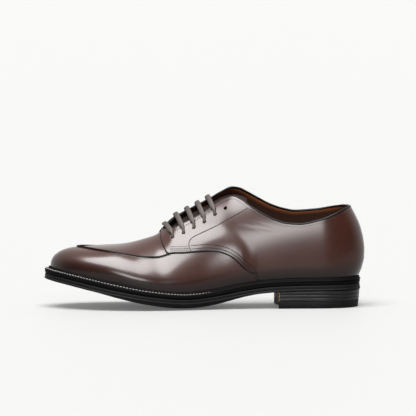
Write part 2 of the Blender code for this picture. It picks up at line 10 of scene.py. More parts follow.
import bmesh
import bpy
import numpy as np
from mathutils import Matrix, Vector

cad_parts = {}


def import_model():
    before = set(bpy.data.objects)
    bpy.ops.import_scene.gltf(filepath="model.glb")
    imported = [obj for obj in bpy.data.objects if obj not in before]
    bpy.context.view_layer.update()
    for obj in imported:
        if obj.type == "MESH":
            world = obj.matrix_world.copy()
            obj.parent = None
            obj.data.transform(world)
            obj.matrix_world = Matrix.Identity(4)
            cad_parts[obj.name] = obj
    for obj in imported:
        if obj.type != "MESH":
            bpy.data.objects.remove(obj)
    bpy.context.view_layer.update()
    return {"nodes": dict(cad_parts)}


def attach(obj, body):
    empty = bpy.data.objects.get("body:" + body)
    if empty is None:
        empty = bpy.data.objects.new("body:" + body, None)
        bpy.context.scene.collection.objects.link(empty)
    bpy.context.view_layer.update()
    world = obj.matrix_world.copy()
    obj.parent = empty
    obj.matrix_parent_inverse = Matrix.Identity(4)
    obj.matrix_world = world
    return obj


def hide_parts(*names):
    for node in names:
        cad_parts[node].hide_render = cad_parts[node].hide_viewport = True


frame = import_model()
print("solids:", ", ".join(sorted(frame["nodes"])))

# %% [markdown]
# ## The camera
# The shoe was seen from far away with a long lens, almost level with the floor and turned a little
# towards the toe. A long lens keeps the sides parallel, so the shoe's true sizes can be read.

# %% Camera
MM = 0.001
AIM = Vector((3.0, 0.75, 94.6)) * MM
DISTANCE = 5.0
YAW = math.radians(3.5)
RISE = math.radians(3.85)
LENS = 450.9

away = Vector((-math.sin(YAW) * math.cos(RISE), -math.cos(YAW) * math.cos(RISE), math.sin(RISE)))
camera = bpy.data.objects.new("camera", bpy.data.cameras.new("camera"))
camera.location = AIM + away * DISTANCE
camera.rotation_euler = away.to_track_quat("Z", "Y").to_euler()
camera.data.lens = LENS
camera.data.sensor_width = 36.0
camera.data.clip_end = 100.0
bpy.context.scene.collection.objects.link(camera)
bpy.context.scene.camera = camera
print("camera at", [round(v, 3) for v in camera.location])

# %% [markdown]
# ## The last as short tables
# s runs along the shoe in millimetres, from the back of the heel to the toe. Each table gives a few
# sizes at chosen places, as a last maker does, and a smooth curve through them gives the rest.

# %% Sizes and tables of the last
GAP = 0.3
SOLE_BACK = -0.9
SOLE_TIP = 302.0
HEEL_BULGE = -5.2
HEEL_CAP_START = 40.0
HEEL_CAP_POWER = 2.2
BALL = 205.0
TOE_CAP_POWER = 2.05
TOE_SWING = 5.0
S_MIDDLE = (SOLE_TIP + HEEL_BULGE) / 2
Y_MIDDLE = 0.75
WELT = 4.0
STORM_LIP = 2.6
LIP_WALL = 1.3
OUTSOLE = 5.3
TREAD_CROWN = 1.2
WALL = 2.0
TONGUE = 2.2
TOE_TOP = 262.0
TOE_LENGTH = 34.5
TOE_ROUND = 2.5
CAP_FADE = 0.5
BULGE_HEIGHT = 13.0
SKIRT_TOP = STORM_LIP + 0.2
SKIRT_CLEAR = 0.75
BED_CLEAR = 0.45
WELT_CLEAR = 0.5
FIRST_ROW = 1.4
TAB_CORNER = 185.8
THROAT = 188.0
TAB_BOW = 16.8


def table(names, *rows):
    """A short table as named columns."""
    return dict(zip(names, np.array(rows, float).T))


PLAN = table(
    ("s", "lateral", "medial", "flange"),
    (0, 34.0, 33.5, 2.2),
    (60, 34.5, 33.0, 2.2),
    (95, 34.5, 28.5, 2.4),
    (120, 36.0, 27.5, 2.6),
    (145, 41.0, 30.5, 3.2),
    (160, 45.2, 35.2, 3.6),
    (175, 48.8, 40.8, 4.0),
    (190, 51.4, 45.8, 4.3),
    (BALL, 52.8, 49.6, 4.5),
    (225, 53.2, 51.6, 4.7),
    (SOLE_TIP, 53.2, 52.0, 5.5),
)
SIDE = table(
    ("s", "welt_top", "dish"),
    (-5, 27.0, 0.0),
    (30, 26.6, 0.0),
    (60, 26.3, 0.0),
    (89, 25.0, 0.6),
    (113, 21.9, 2.6),
    (141, 16.9, 4.8),
    (168, 14.5, 5.7),
    (204, 17.9, 5.2),
    (232, 23.0, 4.0),
    (257, 28.4, 2.0),
    (280, 33.4, 0.7),
    (SOLE_TIP, 37.6, 0.2),
)
LAST = table(
    ("s", "crown", "shift", "round_lateral", "round_medial", "swell"),
    (-5, 127.0, 0.0, 2.3, 2.3, 1.5),
    (40, 126.0, 1.0, 2.3, 2.3, 3.0),
    (80, 123.0, 3.0, 2.2, 2.2, 3.0),
    (100, 121.0, 5.0, 2.1, 2.1, 3.0),
    (120, 117.0, 6.0, 2.0, 2.0, 3.0),
    (132, 111.5, 6.5, 1.8, 1.95, 3.0),
    (143, 105.5, 7.0, 1.68, 1.9, 3.0),
    (152, 100.3, 7.0, 1.6, 1.9, 3.0),
    (162, 95.0, 7.0, 1.55, 1.9, 3.0),
    (172, 89.3, 7.0, 1.52, 1.85, 3.2),
    (181, 83.0, 6.5, 1.52, 1.8, 3.2),
    (184, 80.0, 6.5, 1.53, 1.8, 3.2),
    (188, 74.0, 6.0, 1.56, 1.8, 3.2),
    (192, 69.8, 6.0, 1.6, 1.8, 3.2),
    (207, 65.0, 5.0, 1.8, 1.85, 3.2),
    (217, 62.2, 4.5, 1.95, 1.95, 3.0),
    (228, 60.3, 4.0, 2.3, 2.25, 2.8),
    (243, 59.3, 2.5, 2.75, 2.7, 2.2),
    (TOE_TOP, 58.4, 1.0, 2.9, 2.9, 1.0),
    (SOLE_TIP, 57.6, 0.0, TOE_ROUND, TOE_ROUND, 0.0),
)
BACK = table(
    ("z", "s"),
    (20, 1.3),
    (28, 1.3),
    (32, -0.6),
    (39, -3.2),
    (48, -5.0),
    (55, HEEL_BULGE),
    (65, -4.1),
    (74, -2.0),
    (80, 0.0),
    (85, 2.2),
    (91, 5.2),
    (97, 8.6),
    (127, 22.0),
)
EDGE = table(
    ("s", "lateral", "medial"),
    (5, 96.4, 96.4),
    (12, 95.4, 96.0),
    (20, 92.0, 94.6),
    (40, 84.5, 91.2),
    (60, 80.8, 90.0),
    (72, 81.6, 92.2),
    (84, 85.1, 96.4),
    (95, 90.7, 102.2),
    (107, 98.4, 109.0),
    (115, 104.2, 113.0),
    (122, 106.9, 114.3),
    (132, 103.9, 110.0),
    (141, 98.0, 104.6),
    (149, 92.4, 100.4),
    (160, 86.0, 94.8),
    (170, 80.5, 89.0),
    (178, 76.2, 84.0),
    (184, 74.6, 78.8),
    (THROAT, 74.0, 74.0),
)
SEAM = table(
    ("s", "share"),
    (-5, 0.18),
    (60, 0.17),
    (92, 0.13),
    (104, 0.105),
    (109, 0.135),
    (114, 0.19),
    (121, 0.28),
    (129, 0.355),
    (138, 0.415),
    (150, 0.465),
    (164, 0.50),
    (174, 0.53),
    (186, 0.60),
    (198, 0.645),
    (209, 0.685),
    (224, 0.78),
    (245, 0.89),
    (256, 0.935),
    (TOE_TOP, 0.965),
    (269, 0.992),
    (SOLE_TIP, 0.992),
)
print("last: %d sections, sole %.0f mm long" % (len(LAST["s"]), SOLE_TIP - SOLE_BACK))

# %% [markdown]
# ## A smooth curve through a table
# A monotone cubic passes through every row and never swings past its neighbours, so a topline
# read from ten heights has no bumps between them. Its curvature still jumps at the rows, which a
# polished surface would show as ripples, so the last's tables are averaged over a few millimetres.


# %% Reading a table
def read(rows, column, x):
    """Smooth value of a table's column at x: a cubic with the harmonic mean of slopes at each row."""
    names = list(rows)
    xs, ys = rows[names[0]], rows[column]
    step = np.diff(xs)
    slope = np.diff(ys) / step
    total = np.where(slope[:-1] + slope[1:] == 0, 1, slope[:-1] + slope[1:])
    inner = np.where(slope[:-1] * slope[1:] > 0, 2 * slope[:-1] * slope[1:] / total, 0)
    tangent = np.concatenate(([slope[0]], inner, [slope[-1]]))
    x = np.clip(np.asarray(x, float), xs[0], xs[-1])
    i = np.clip(np.searchsorted(xs, x) - 1, 0, len(xs) - 2)
    t = (x - xs[i]) / step[i]
    value = (2 * t**3 - 3 * t**2 + 1) * ys[i] + (t**3 - 2 * t**2 + t) * step[i] * tangent[i]
    return value + (3 * t**2 - 2 * t**3) * ys[i + 1] + (t**3 - t**2) * step[i] * tangent[i + 1]


EVEN_REACH = 11


def evened(rows):
    """The same table at every millimetre, each value averaged with its neighbours, its ends kept."""
    names = list(rows)
    first, last = rows[names[0]][0], rows[names[0]][-1]
    xs = np.linspace(first, last, int(last - first) + 1)
    weight = np.hanning(2 * EVEN_REACH + 1)
    fine = {names[0]: xs}
    for name in names[1:]:
        longer = np.pad(read(rows, name, xs), EVEN_REACH, mode="reflect", reflect_type="odd")
        fine[name] = np.convolve(longer, weight / weight.sum(), mode="valid")
    return fine


PLAN, SIDE, LAST, SEAM = evened(PLAN), evened(SIDE), evened(LAST), evened(SEAM)


def smooth(x, low, high):
    """0 below low, 1 above high, and 3t^2 - 2t^3 between them."""
    t = np.clip((x - low) / (high - low), 0, 1)
    return t * t * (3 - 2 * t)


print("welt top at the ball: %.1f mm" % read(SIDE, "welt_top", BALL))

# %% [markdown]
# ## The sole's outline
# Each side of the outline is its half width at s, times the share that the round heel and toe leave
# of it. The same outline, moved inwards, is the feather line, where the upper meets the sole.


# %% Outline, bed and tread
def side_name(side):
    return "lateral" if side < 0 else "medial"


def swing(s):
    """The centre line bends to the inner side in front of the ball, as a parabola."""
    ahead = np.clip((s - BALL) / (SOLE_TIP - BALL), 0, 1)
    return TOE_SWING * ahead**2


def end_caps(s, back, tip, start=BALL):
    """Share of the width left at s: a superellipse from start to the tip, and one round the heel."""
    ahead = np.clip((s - start) / (tip - start), 0, 1)
    behind = np.clip((HEEL_CAP_START - s) / (HEEL_CAP_START - back), 0, 1)
    toe = (1 - ahead**TOE_CAP_POWER) ** (1 / TOE_CAP_POWER)
    return toe * (1 - behind**HEEL_CAP_POWER) ** (1 / HEEL_CAP_POWER)


def outline_ends(inward, offset):
    """Back and tip of an outline: inward 0 is the sole's edge, 1 the feather line."""
    back = SOLE_BACK + inward * PLAN["flange"][0] + offset
    tip = SOLE_TIP - inward * PLAN["flange"][-1] - offset
    return back, tip


def half_width(side, s, inward, offset):
    """Half width of such an outline at s."""
    back, tip = outline_ends(inward, offset)
    width = read(PLAN, side_name(side), s) - inward * read(PLAN, "flange", s) - offset
    return width * end_caps(s, back, tip)


def dish(s, y):
    """Depth of the sole's dip below its edge, a parabola across the shoe."""
    edge = np.where(y < swing(s), read(PLAN, "lateral", s), read(PLAN, "medial", s))
    return read(SIDE, "dish", s) * (1 - ((y - swing(s)) / edge) ** 2)


def bed(s, y):
    """Top of the outsole."""
    return read(SIDE, "welt_top", s) - WELT - GAP - dish(s, y)


def tread(s, y):
    """Underside of the outsole, pressed flat where it meets the floor."""
    return np.maximum(read(SIDE, "welt_top", s) - WELT - GAP - OUTSOLE - TREAD_CROWN * dish(s, y), 0)


def world(points):
    """Points (s, y, z) in millimetres as metres in the shoe's frame: the toe points to -X."""
    points = np.asarray(points, float)
    return np.stack([S_MIDDLE - points[..., 0], points[..., 1] + Y_MIDDLE, points[..., 2]], axis=-1) * MM


print("ball width: %.1f mm" % (half_width(-1, 215.0, 0, 0) + half_width(1, 215.0, 0, 0)))

# %% [markdown]
# ## The last's surface
# At each s the section is a superellipse: phi runs from 0 at the feather to a quarter turn at the
# crown. A higher power makes a boxier section, as over the toes, and a lower one a ridge, as at the
# instep.


# %% A point of the last
def section(s, side, phi):
    """Width and height of the section at angle phi, as powers of its cosine and sine."""
    power = 2 / read(LAST, "round_" + side_name(side), s)
    return np.cos(phi) ** power, np.sin(phi) ** power


def swell(s, z):
    """How far the wall stands outside the feather line at height z."""
    low = read(SIDE, "welt_top", s) + SKIRT_TOP
    rise = np.clip((z - low) / BULGE_HEIGHT, 0, 1)
    return read(LAST, "swell", s) * (1 - (1 - rise) ** 2)


def toe_cap(tip):
    """Where the round toe begins on the line that ends at tip: the higher the line, the shorter its cap."""
    feather = SOLE_TIP - PLAN["flange"][-1]
    share = np.clip((tip - TOE_TOP) / (feather - TOE_TOP), 0.01, 1)
    return tip - (feather - BALL) * share**CAP_FADE


def last_point(s, side, phi, tip):
    """A point of the last's surface; tip is where its line of constant phi ends at the toe."""
    wide, high = section(s, side, phi)
    foot = read(SIDE, "welt_top", s)
    z = foot + (read(LAST, "crown", s) - foot) * high
    width = read(PLAN, side_name(side), s) - read(PLAN, "flange", s) + swell(s, z)
    back = read(BACK, "s", z)
    shift = read(LAST, "shift", s)
    y = swing(s) + shift * (1 - wide) + side * width * end_caps(s, back, tip, toe_cap(tip)) * wide
    return s, y, z


def angle_of(s, side, height):
    """Angle phi whose point stands at the given height."""
    foot = read(SIDE, "welt_top", s)
    share = np.clip((height - foot) / (read(LAST, "crown", s) - foot), 0, 1)
    return np.arcsin(share ** (read(LAST, "round_" + side_name(side), s) / 2))


def seam_angle(s, side):
    return np.arcsin(read(SEAM, "share", s) ** (read(LAST, "round_" + side_name(side), s) / 2))


def top_angle(s, side):
    """Angle of the topline, or of the crown where the vamp is closed."""
    edge = angle_of(s, side, read(EDGE, side_name(side), s))
    return np.where(s >= THROAT, np.pi / 2, edge)


print("apron seam at the ball, degrees up the section: %.0f" % math.degrees(seam_angle(BALL, -1)))

# %% [markdown]
# ## Shader maths as Python
# A material is a small network of nodes. This class holds one socket, and each operator on it adds
# the Math node that does the sum, so a pattern can be written as a line of arithmetic.


# %% A socket that can be added and multiplied
class Wire:
    """One output socket. + - * and / add Math nodes, also with a number first; node() adds any other."""

    def __init__(self, tree, socket):
        self.tree = tree
        self.socket = socket

    def node(self, kind, inputs, output=0, **settings):
        """A node of any kind: its settings first, then the values or links of its sockets."""
        made = self.tree.nodes.new(kind)
        for name, value in settings.items():
            setattr(made, name, value)
        for name, value in inputs.items():
            if isinstance(value, Wire):
                self.tree.links.new(value.socket, made.inputs[name])
            else:
                made.inputs[name].default_value = value
        return Wire(self.tree, made.outputs[output])

    def math(self, operation, first, second=0.0):
        return self.node("ShaderNodeMath", {0: first, 1: second}, operation=operation)

    def __add__(self, other):
        return self.math("ADD", self, other)

    def __sub__(self, other):
        return self.math("SUBTRACT", self, other)

    def __rsub__(self, other):
        return self.math("SUBTRACT", other, self)

    def __mul__(self, other):
        return self.math("MULTIPLY", self, other)

    def __truediv__(self, other):
        return self.math("DIVIDE", self, other)

    def __rtruediv__(self, other):
        return self.math("DIVIDE", other, self)

    __radd__ = __add__
    __rmul__ = __mul__

    def between(self, low, high):
        """0 below low, 1 above high, smooth between them."""
        inputs = {0: self, 1: low, 2: high, 3: 0.0, 4: 1.0}
        return self.node("ShaderNodeMapRange", inputs, interpolation_type="SMOOTHSTEP")

    def mix(self, first, second):
        """Colour mix: first where this value is 0 and second where it is 1."""
        return self.node("ShaderNodeMix", {0: self, 6: first, 7: second}, output=2, data_type="RGBA")

    def noise(self, scale, detail=3.0, roughness=0.55):
        inputs = {"Vector": self, "Scale": scale, "Detail": detail, "Roughness": roughness}
        return self.node("ShaderNodeTexNoise", inputs)

    def cells(self, scale):
        return self.node("ShaderNodeTexVoronoi", {"Vector": self, "Scale": scale})

    def stretched(self, x, y, z):
        return self.node("ShaderNodeMapping", {"Vector": self, "Scale": (x, y, z)})

    def attribute(self, name):
        return self.node("ShaderNodeAttribute", {}, output=2, attribute_name=name)

    def bump(self, strength, distance):
        return self.node("ShaderNodeBump", {"Height": self, "Strength": strength, "Distance": distance})


def new_finish(name, **constants):
    """A material with its shader's own sockets set; returns it, its shader and its Object coordinates."""
    made = bpy.data.materials.new(name)
    made.use_nodes = True
    shader = made.node_tree.nodes["Principled BSDF"]
    for socket, value in constants.items():
        shader.inputs[socket.replace("_", " ")].default_value = value
    start = Wire(made.node_tree, None)
    place = start.node("ShaderNodeTexCoord", {}, output=3)
    return made, shader, place


def feed(shader, **wires):
    """Links wires to the shader's sockets by name."""
    for socket, wire in wires.items():
        wire.tree.links.new(wire.socket, shader.inputs[socket.replace("_", " ")])


print("shader helpers ready")

# %% [markdown]
# ## The polished upper leather
# Smooth calf takes an even dye, a shade darker where it is burnished by hand at the toe and along the
# apron's seam and the quarter's edge. The wall's lower part, from the welt up about 20 mm, is painted
# darker as shade. The grain is hardly a tenth of a millimetre deep, so it is left to bump, and a thin
# clear coat stands for the wax. The attribute that carries burnish and painted shade is worked out with
# the surface further on.

# %% Upper leather
DYE_DEEP = (0.0150, 0.0044, 0.0028, 1)
DYE_WARM = (0.0215, 0.0068, 0.0043, 1)
# Near-black tone: real burnish at the toe and seams, and painted shade on the upper's lower wall.
DYE_BURNT_AND_SHADE = (0.002, 0.0009, 0.0008, 1)
# The tongue's own dark brown, painted darker still as the shade under the facings.
TONGUE_SHADE_DEEP = (0.0050, 0.0018, 0.0012, 1)
TONGUE_SHADE_WARM = (0.0085, 0.0030, 0.0020, 1)


COAT_ROUGHNESS = 0.13
GRAIN_DEPTH = 0.00012


def leather_finish(name, deep, warm, burnish_and_shade_tone, roughness, grain, coat=0.0, shine=0.2):
    """Dyed leather from its two tones, its tone for burnish and painted shade, its dullness, its grain and
    its wax.
    """
    made, shader, place = new_finish(
        name, Coat_Weight=coat, Coat_Roughness=COAT_ROUGHNESS, Specular_IOR_Level=shine
    )
    cloud = place.noise(14.0, 3.0).between(0.25, 0.8)
    fleck = place.noise(240.0, 3.0).between(0.25, 0.8)
    dyed = (cloud * 0.75 + fleck * 0.25).mix(deep, warm)
    # Where the attribute is high the colour turns to that tone: burnish, and painted shade low on the wall.
    burnish_and_shade = place.attribute("burnish_and_shade")
    colour = (burnish_and_shade * 0.85).mix(dyed, burnish_and_shade_tone)
    pores = place.cells(1500.0).between(0.0, 0.55)
    wrinkle = place.noise(420.0, 5.0, 0.6)
    relief = (pores * 0.4 + wrinkle * 0.6).bump(grain, GRAIN_DEPTH)
    feed(shader, Base_Color=colour, Roughness=cloud * 0.03 + fleck * 0.015 + roughness, Normal=relief)
    return made


upper_leather = leather_finish("upper_leather", DYE_DEEP, DYE_WARM, DYE_BURNT_AND_SHADE, 0.27, 0.10, coat=0.2)
edge_leather = leather_finish(
    "black_binding", (0.0010, 0.0010, 0.0011, 1), (0.0022, 0.0021, 0.0021, 1), DYE_BURNT_AND_SHADE,
    0.34, 0.15, shine=0.07
)
# Tongue: its dark brown plus painted shade.
tongue_leather = leather_finish("tongue_leather", TONGUE_SHADE_DEEP, TONGUE_SHADE_WARM, DYE_BURNT_AND_SHADE, 0.5, 0.4, shine=0.08)
# The lining's two near-black tones are painted shade inside the shoe; the third, tan, is its own colour.
lining_leather = leather_finish(
    "lining_leather", (0.012, 0.0034, 0.0014, 1), (0.022, 0.0064, 0.0026, 1), (0.20, 0.060, 0.016, 1),
    0.6, 0.4, shine=0.15
)
welt_leather = leather_finish(
    "welt_leather", (0.0009, 0.0009, 0.0010, 1), (0.0018, 0.0017, 0.0018, 1), (0.001, 0.001, 0.001, 1),
    0.6, 0.25, shine=0.03
)
print("leathers:", upper_leather.name, edge_leather.name, lining_leather.name, welt_leather.name)

# %% [markdown]
# ## Putting a grid into a mesh
# A surface is a grid of points. When both ends of its rows join, it is a closed ring, as for a shoe's
# wall. Doubles are merged, so the seam where the grid meets itself can't be seen.


# %% Grid meshes
def quads(start, rows, columns, ring, flip=False):
    """Faces of a grid whose points begin at index start; ring joins the last column to the first."""
    r, c = np.meshgrid(np.arange(rows - 1), np.arange(columns if ring else columns - 1), indexing="ij")
    after = (c + 1) % columns
    corners = [r * columns + c, r * columns + after, (r + 1) * columns + after, (r + 1) * columns + c]
    made = np.stack([start + corner.ravel() for corner in corners], axis=1)
    return made[:, ::-1] if flip else made


def keep_values(mesh, values):
    """Keeps named numbers on a mesh's points, for its material to read."""
    for key, numbers in values.items():
        kept = mesh.attributes.new(key, "FLOAT", "POINT")
        kept.data.foreach_set("value", np.ravel(numbers).astype(np.float32))


def stand(name, mesh, finish):
    """Puts a finished mesh into the scene as one piece of the shoe."""
    mesh.materials.append(finish)
    mesh.shade_smooth()
    made = bpy.data.objects.new(name, mesh)
    bpy.context.scene.collection.objects.link(made)
    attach(made, "root")
    return made


def piece(name, points, faces, finish, values=None, merge=0.00002, turn_out=True):
    """One object from millimetre points: values are named numbers kept on its points."""
    mesh = bpy.data.meshes.new(name)
    cells = faces.tolist() if isinstance(faces, np.ndarray) else faces
    mesh.from_pydata(world(points).reshape(-1, 3).tolist(), [], cells)
    keep_values(mesh, values or {})
    work = bmesh.new()
    work.from_mesh(mesh)
    bmesh.ops.remove_doubles(work, verts=work.verts, dist=merge)
    bmesh.ops.dissolve_degenerate(work, edges=work.edges, dist=0.000001)
    if turn_out:
        bmesh.ops.recalc_face_normals(work, faces=work.faces)
    work.to_mesh(mesh)
    work.free()
    return stand(name, mesh, finish)


def report(made):
    print("%s: %d points, %d faces" % (made.name, len(made.data.vertices), len(made.data.polygons)))


def ring_of(lateral, medial):
    """Joins two sides, each from heel to toe, into loops that run round the shoe."""
    return np.concatenate([lateral, medial[:, -2:0:-1]], axis=1)


print("grid helpers ready")

# %% [markdown]
# ## Rows and columns of the upper
# The rows of the grid follow the seams, because a cut edge of leather is crisp: one row runs along
# the apron's seam and on along the quarter's lower edge, with close rows at both sides. One column
# runs along the tab's front edge in the same way.

# %% Rows
SEAM_STEPS = np.array([-3.0, -2.2, -1.6, -1.2, -0.85, -0.5, -0.2, 0.0, 0.2, 0.45, 0.75, 1.1, 1.6, 2.2, 3.0])
LOW_COUNT = 30
HIGH_COUNT = 40
SKIRT = 2
TOE_RATE = 41.0
TOE_ANGLE_AT = 270.0
BACK_COUNT = 170
HEEL_COUNT = 34
FRONT_COUNT = 110
TAB_STEPS = np.array([-2.4, -1.5, -0.9, -0.5, -0.2])
AHEAD_STEPS = np.array([0.25, 0.7, 1.3, 2.2])


def seam_rate(s, side):
    """Millimetres along the section per radian at the seam, from two nearby points."""
    half_step = 0.02
    middle = seam_angle(s, side)
    tip = SOLE_TIP - PLAN["flange"][-1]
    low = last_point(s, side, middle - half_step, tip)
    high = last_point(s, side, middle + half_step, tip)
    rate = np.hypot(high[1] - low[1], high[2] - low[2]) / (2 * half_step)
    share = smooth(s, 225, 258)
    return rate * (1 - share) + TOE_RATE * share


def row_kinds():
    """Each row as (kind, number): skirt, low share, step from the seam, or high share."""
    rows = [("skirt", 0), ("skirt", 1)]
    rows += [("low", share) for share in np.linspace(0, 1, LOW_COUNT, endpoint=False)]
    rows += [("seam", step) for step in SEAM_STEPS]
    rows += [("high", 1 - (1 - share) ** 1.35) for share in np.linspace(0, 1, HIGH_COUNT + 1)[1:]]
    return rows


ROW_KINDS = row_kinds()


def row_angle(kind, number, s, side):
    """Angle up the section of one row: a step from the seam, or a share of the way to the next edge."""
    seam = seam_angle(s, side)
    rate = seam_rate(s, side)
    if kind == "skirt":
        return np.zeros_like(s)
    if kind == "seam":
        return seam + number / rate
    if kind == "low":
        start = angle_of(s, side, read(SIDE, "welt_top", s) + SKIRT_TOP + FIRST_ROW)
        return start + (seam + SEAM_STEPS[0] / rate - start) * number
    start = seam + SEAM_STEPS[-1] / rate
    return start + (top_angle(s, side) - start) * number


def up_share(kind, number):
    """How far up the tab's front edge a row is, from 0 at the seam to 1 at the throat."""
    if kind == "high":
        return 0.06 + 0.94 * number
    if kind == "seam" and number > 0:
        return 0.02 * number
    return 0.0


def row_stations(kind, number, side):
    """Places s of a row's points: round the heel, along the shank, to the tab's front, and to the toe."""
    toe_angle = row_angle(kind, number, np.array([TOE_ANGLE_AT]), side)[0]
    tip = TOE_TOP + TOE_LENGTH * np.cos(toe_angle) ** (2 / TOE_ROUND)
    back = outline_ends(1, 0)[0]
    if kind != "skirt":
        s_back = np.array([0.0])
        for _ in range(4):
            s_back = read(BACK, "s", last_point(s_back, side, row_angle(kind, number, s_back, side), tip)[2])
        back = s_back[0]
    up = up_share(kind, number)
    tab = TAB_CORNER + (THROAT - TAB_CORNER) * up + TAB_BOW * up * (1 - up)
    quarter_turn = np.pi / 2 * np.arange(HEEL_COUNT) / HEEL_COUNT
    round_heel = back + (HEEL_CAP_START - back) * (1 - np.cos(quarter_turn))
    shank = np.linspace(HEEL_CAP_START, tab + TAB_STEPS[0], BACK_COUNT - HEEL_COUNT - len(TAB_STEPS) + 1)
    first = np.concatenate([round_heel, shank, tab + TAB_STEPS[1:], [tab]])
    begin = tab + AHEAD_STEPS[-1]
    count = FRONT_COUNT - len(AHEAD_STEPS)
    front = begin + (tip - begin) * np.sin(np.pi / 2 * np.arange(1, count + 1) / count)
    return np.concatenate([first, tab + AHEAD_STEPS, front]), tip, tab


print("upper: %d rows, %d columns a side" % (len(ROW_KINDS), BACK_COUNT + FRONT_COUNT + 1))

# %% [markdown]
# ## What stands on the leather
# The apron's seam is a hand-raised ridge with a narrow valley on each side. The quarter is a second
# layer on the vamp: its cut edge is a quarter round, and its thickness fades into the last behind it.
# Soft creases run from the topline down over the instep, where the foot bends the leather.

# %% Relief of the upper
SEAM_RIDGE = 0.75
SEAM_RIDGE_HALF = 0.9
QUARTER_STEP = 1.3
CUT_ROUND = 0.7
CORNER_ROUND = 2.5
QUARTER_FULL = 8
QUARTER_GONE = 30
QUARTER_START = 100
QUARTER_RISE = 14
INNER_CREASES = 0.6
LOW_SHADE_HEIGHT = 20
CREASES = table(
    ("s", "z", "length", "width", "depth", "lean"),
    (124, 79, 13, 0.8, 0.045, 0.42),
    (119, 79.5, 14, 0.8, 0.060, 0.42),
    (114, 78.5, 15, 0.9, 0.075, 0.40),
    (109, 78, 14, 0.8, 0.065, 0.40),
    (104, 77, 16, 0.9, 0.085, 0.38),
    (99, 76.5, 14, 0.8, 0.065, 0.36),
    (94, 76.5, 14, 0.9, 0.080, 0.35),
    (89, 75.5, 13, 0.8, 0.060, 0.32),
    (84, 74.5, 12, 0.8, 0.050, 0.30),
    (106, 82.5, 11, 0.8, 0.040, 0.45),
    (96, 81, 12, 0.8, 0.050, 0.42),
    (88, 79, 12, 0.8, 0.045, 0.36),
)


def ridge(away):
    """The apron's seam: a rounded ridge with a shallow valley beside it, by distance from its middle."""
    top = SEAM_RIDGE * np.exp(-((away / SEAM_RIDGE_HALF) ** 2) * 1.3)
    valley = 0.35 * np.exp(-(((np.abs(away) - 2.0) / 0.8) ** 2))
    return top - valley


def quarter_thickness(reach):
    """How far the quarter stands on the vamp, by distance from its cut edges."""
    return QUARTER_STEP * (1 - smooth(reach, QUARTER_FULL, QUARTER_GONE))


def quarter_start(s):
    """The quarter's edge rises out of the leather from here towards the toe."""
    return np.clip((s - QUARTER_START) / QUARTER_RISE, 0, 1)


def cut_edge(behind, above):
    """The quarter's thickness at its edge: a quarter round that follows the nearer of its two edges."""
    near = np.minimum(behind, above)
    corner = CORNER_ROUND - np.hypot(
        np.maximum(CORNER_ROUND - behind, 0), np.maximum(CORNER_ROUND - above, 0)
    )
    near = np.where(near < CORNER_ROUND, np.minimum(near, corner), near)
    rise = np.clip(near / CUT_ROUND, 0, 1)
    return np.sqrt(1 - (1 - rise) ** 2)


def creases(s, z):
    """Soft slanted troughs: each is a bell across its line, faded out towards its ends."""
    total = np.zeros_like(s)
    for row in zip(*CREASES.values()):
        at_s, at_z, length, width, depth, lean = row
        along = (s - at_s) * math.cos(lean) + (z - at_z) * math.sin(lean)
        across = -(s - at_s) * math.sin(lean) + (z - at_z) * math.cos(lean)
        across = across + 0.012 * along**2
        total -= depth * np.exp(-((across / width) ** 2) - (2 * along / length) ** 4)
    return total


def upper_side(side):
    """One side of the upper: base points, relief on them, burnish and painted shade, rows by stations."""
    points, lifts, marks = [], [], []
    for kind, number in ROW_KINDS:
        s, tip, tab = row_stations(kind, number, side)
        phi = row_angle(kind, number, s, side)
        if kind == "skirt":
            y = swing(s) + side * half_width(side, s, 1, 0)
            low = bed(s, y) + SKIRT_CLEAR
            z = low if number == 0 else read(SIDE, "welt_top", s) + SKIRT_TOP
        else:
            s, y, z = last_point(s, side, phi, tip)
        above = (phi - seam_angle(s, side)) * seam_rate(s, side)
        if kind == "seam":
            above = number * np.ones_like(s)
        behind = tab - s
        reach = np.minimum(above, behind)
        quarter = quarter_thickness(reach) * quarter_start(s)
        quarter = quarter * cut_edge(np.maximum(behind, 0), np.maximum(above, 0))
        bead = ridge(above) * (1 - smooth(behind, 0.5, 3.0))
        lift = np.maximum(bead, quarter) if kind != "skirt" else np.zeros_like(s)
        lift = np.where(behind > 0.5, np.maximum(quarter, 0) + np.minimum(bead, 0) * (above < 0), lift)
        lift = lift + creases(s, z) * ((behind > 0) if side < 0 else INNER_CREASES)
        foot = read(SIDE, "welt_top", s) + SKIRT_TOP
        # Painted shade: the lower wall darkens from the welt up. Real burnish follows the apron's seam, the
        # quarter's edge and the toe.
        mark = 1 - smooth(z - foot, 0, LOW_SHADE_HEIGHT)
        mark = np.maximum(mark, 0.9 * np.exp(-((np.minimum(np.abs(above), 60) / 1.6) ** 2)) * (s > 98))
        mark = np.maximum(mark, 0.5 * smooth(s, 262, 297))
        points.append(np.stack([s, y, z], axis=-1))
        lifts.append(lift)
        marks.append(mark)
    return np.array(points), np.array(lifts), np.array(marks)


sides = {side: upper_side(side) for side in (-1, 1)}
base = ring_of(sides[-1][0], sides[1][0])
relief = ring_of(sides[-1][1], sides[1][1])
burnish_and_shade = ring_of(sides[-1][2], sides[1][2])
print("upper grid:", base.shape[:2], "highest relief %.2f mm" % relief.max())

# %% [markdown]
# ## The upper as one closed wall
# The outer surface is the last plus its relief, along the normal. The inner surface is the same last
# moved inwards by the leather's thickness. Both are joined at the feather and along the topline, so
# the wall is a closed solid. The lining is a second, thinner wall inside it.

# %% Upper and lining
LEATHER = 1.3
INNER_EVERY = 4


def grid_normals(points):
    """Outward unit normals of a grid of closed loops: the cross product of its two directions."""
    along = np.roll(points, -1, axis=1) - np.roll(points, 1, axis=1)
    up = np.gradient(points, axis=0)
    normal = np.cross(along, up)
    normal[:SKIRT, :, 2] = 0
    return normal / np.maximum(np.linalg.norm(normal, axis=-1, keepdims=True), 1e-9)


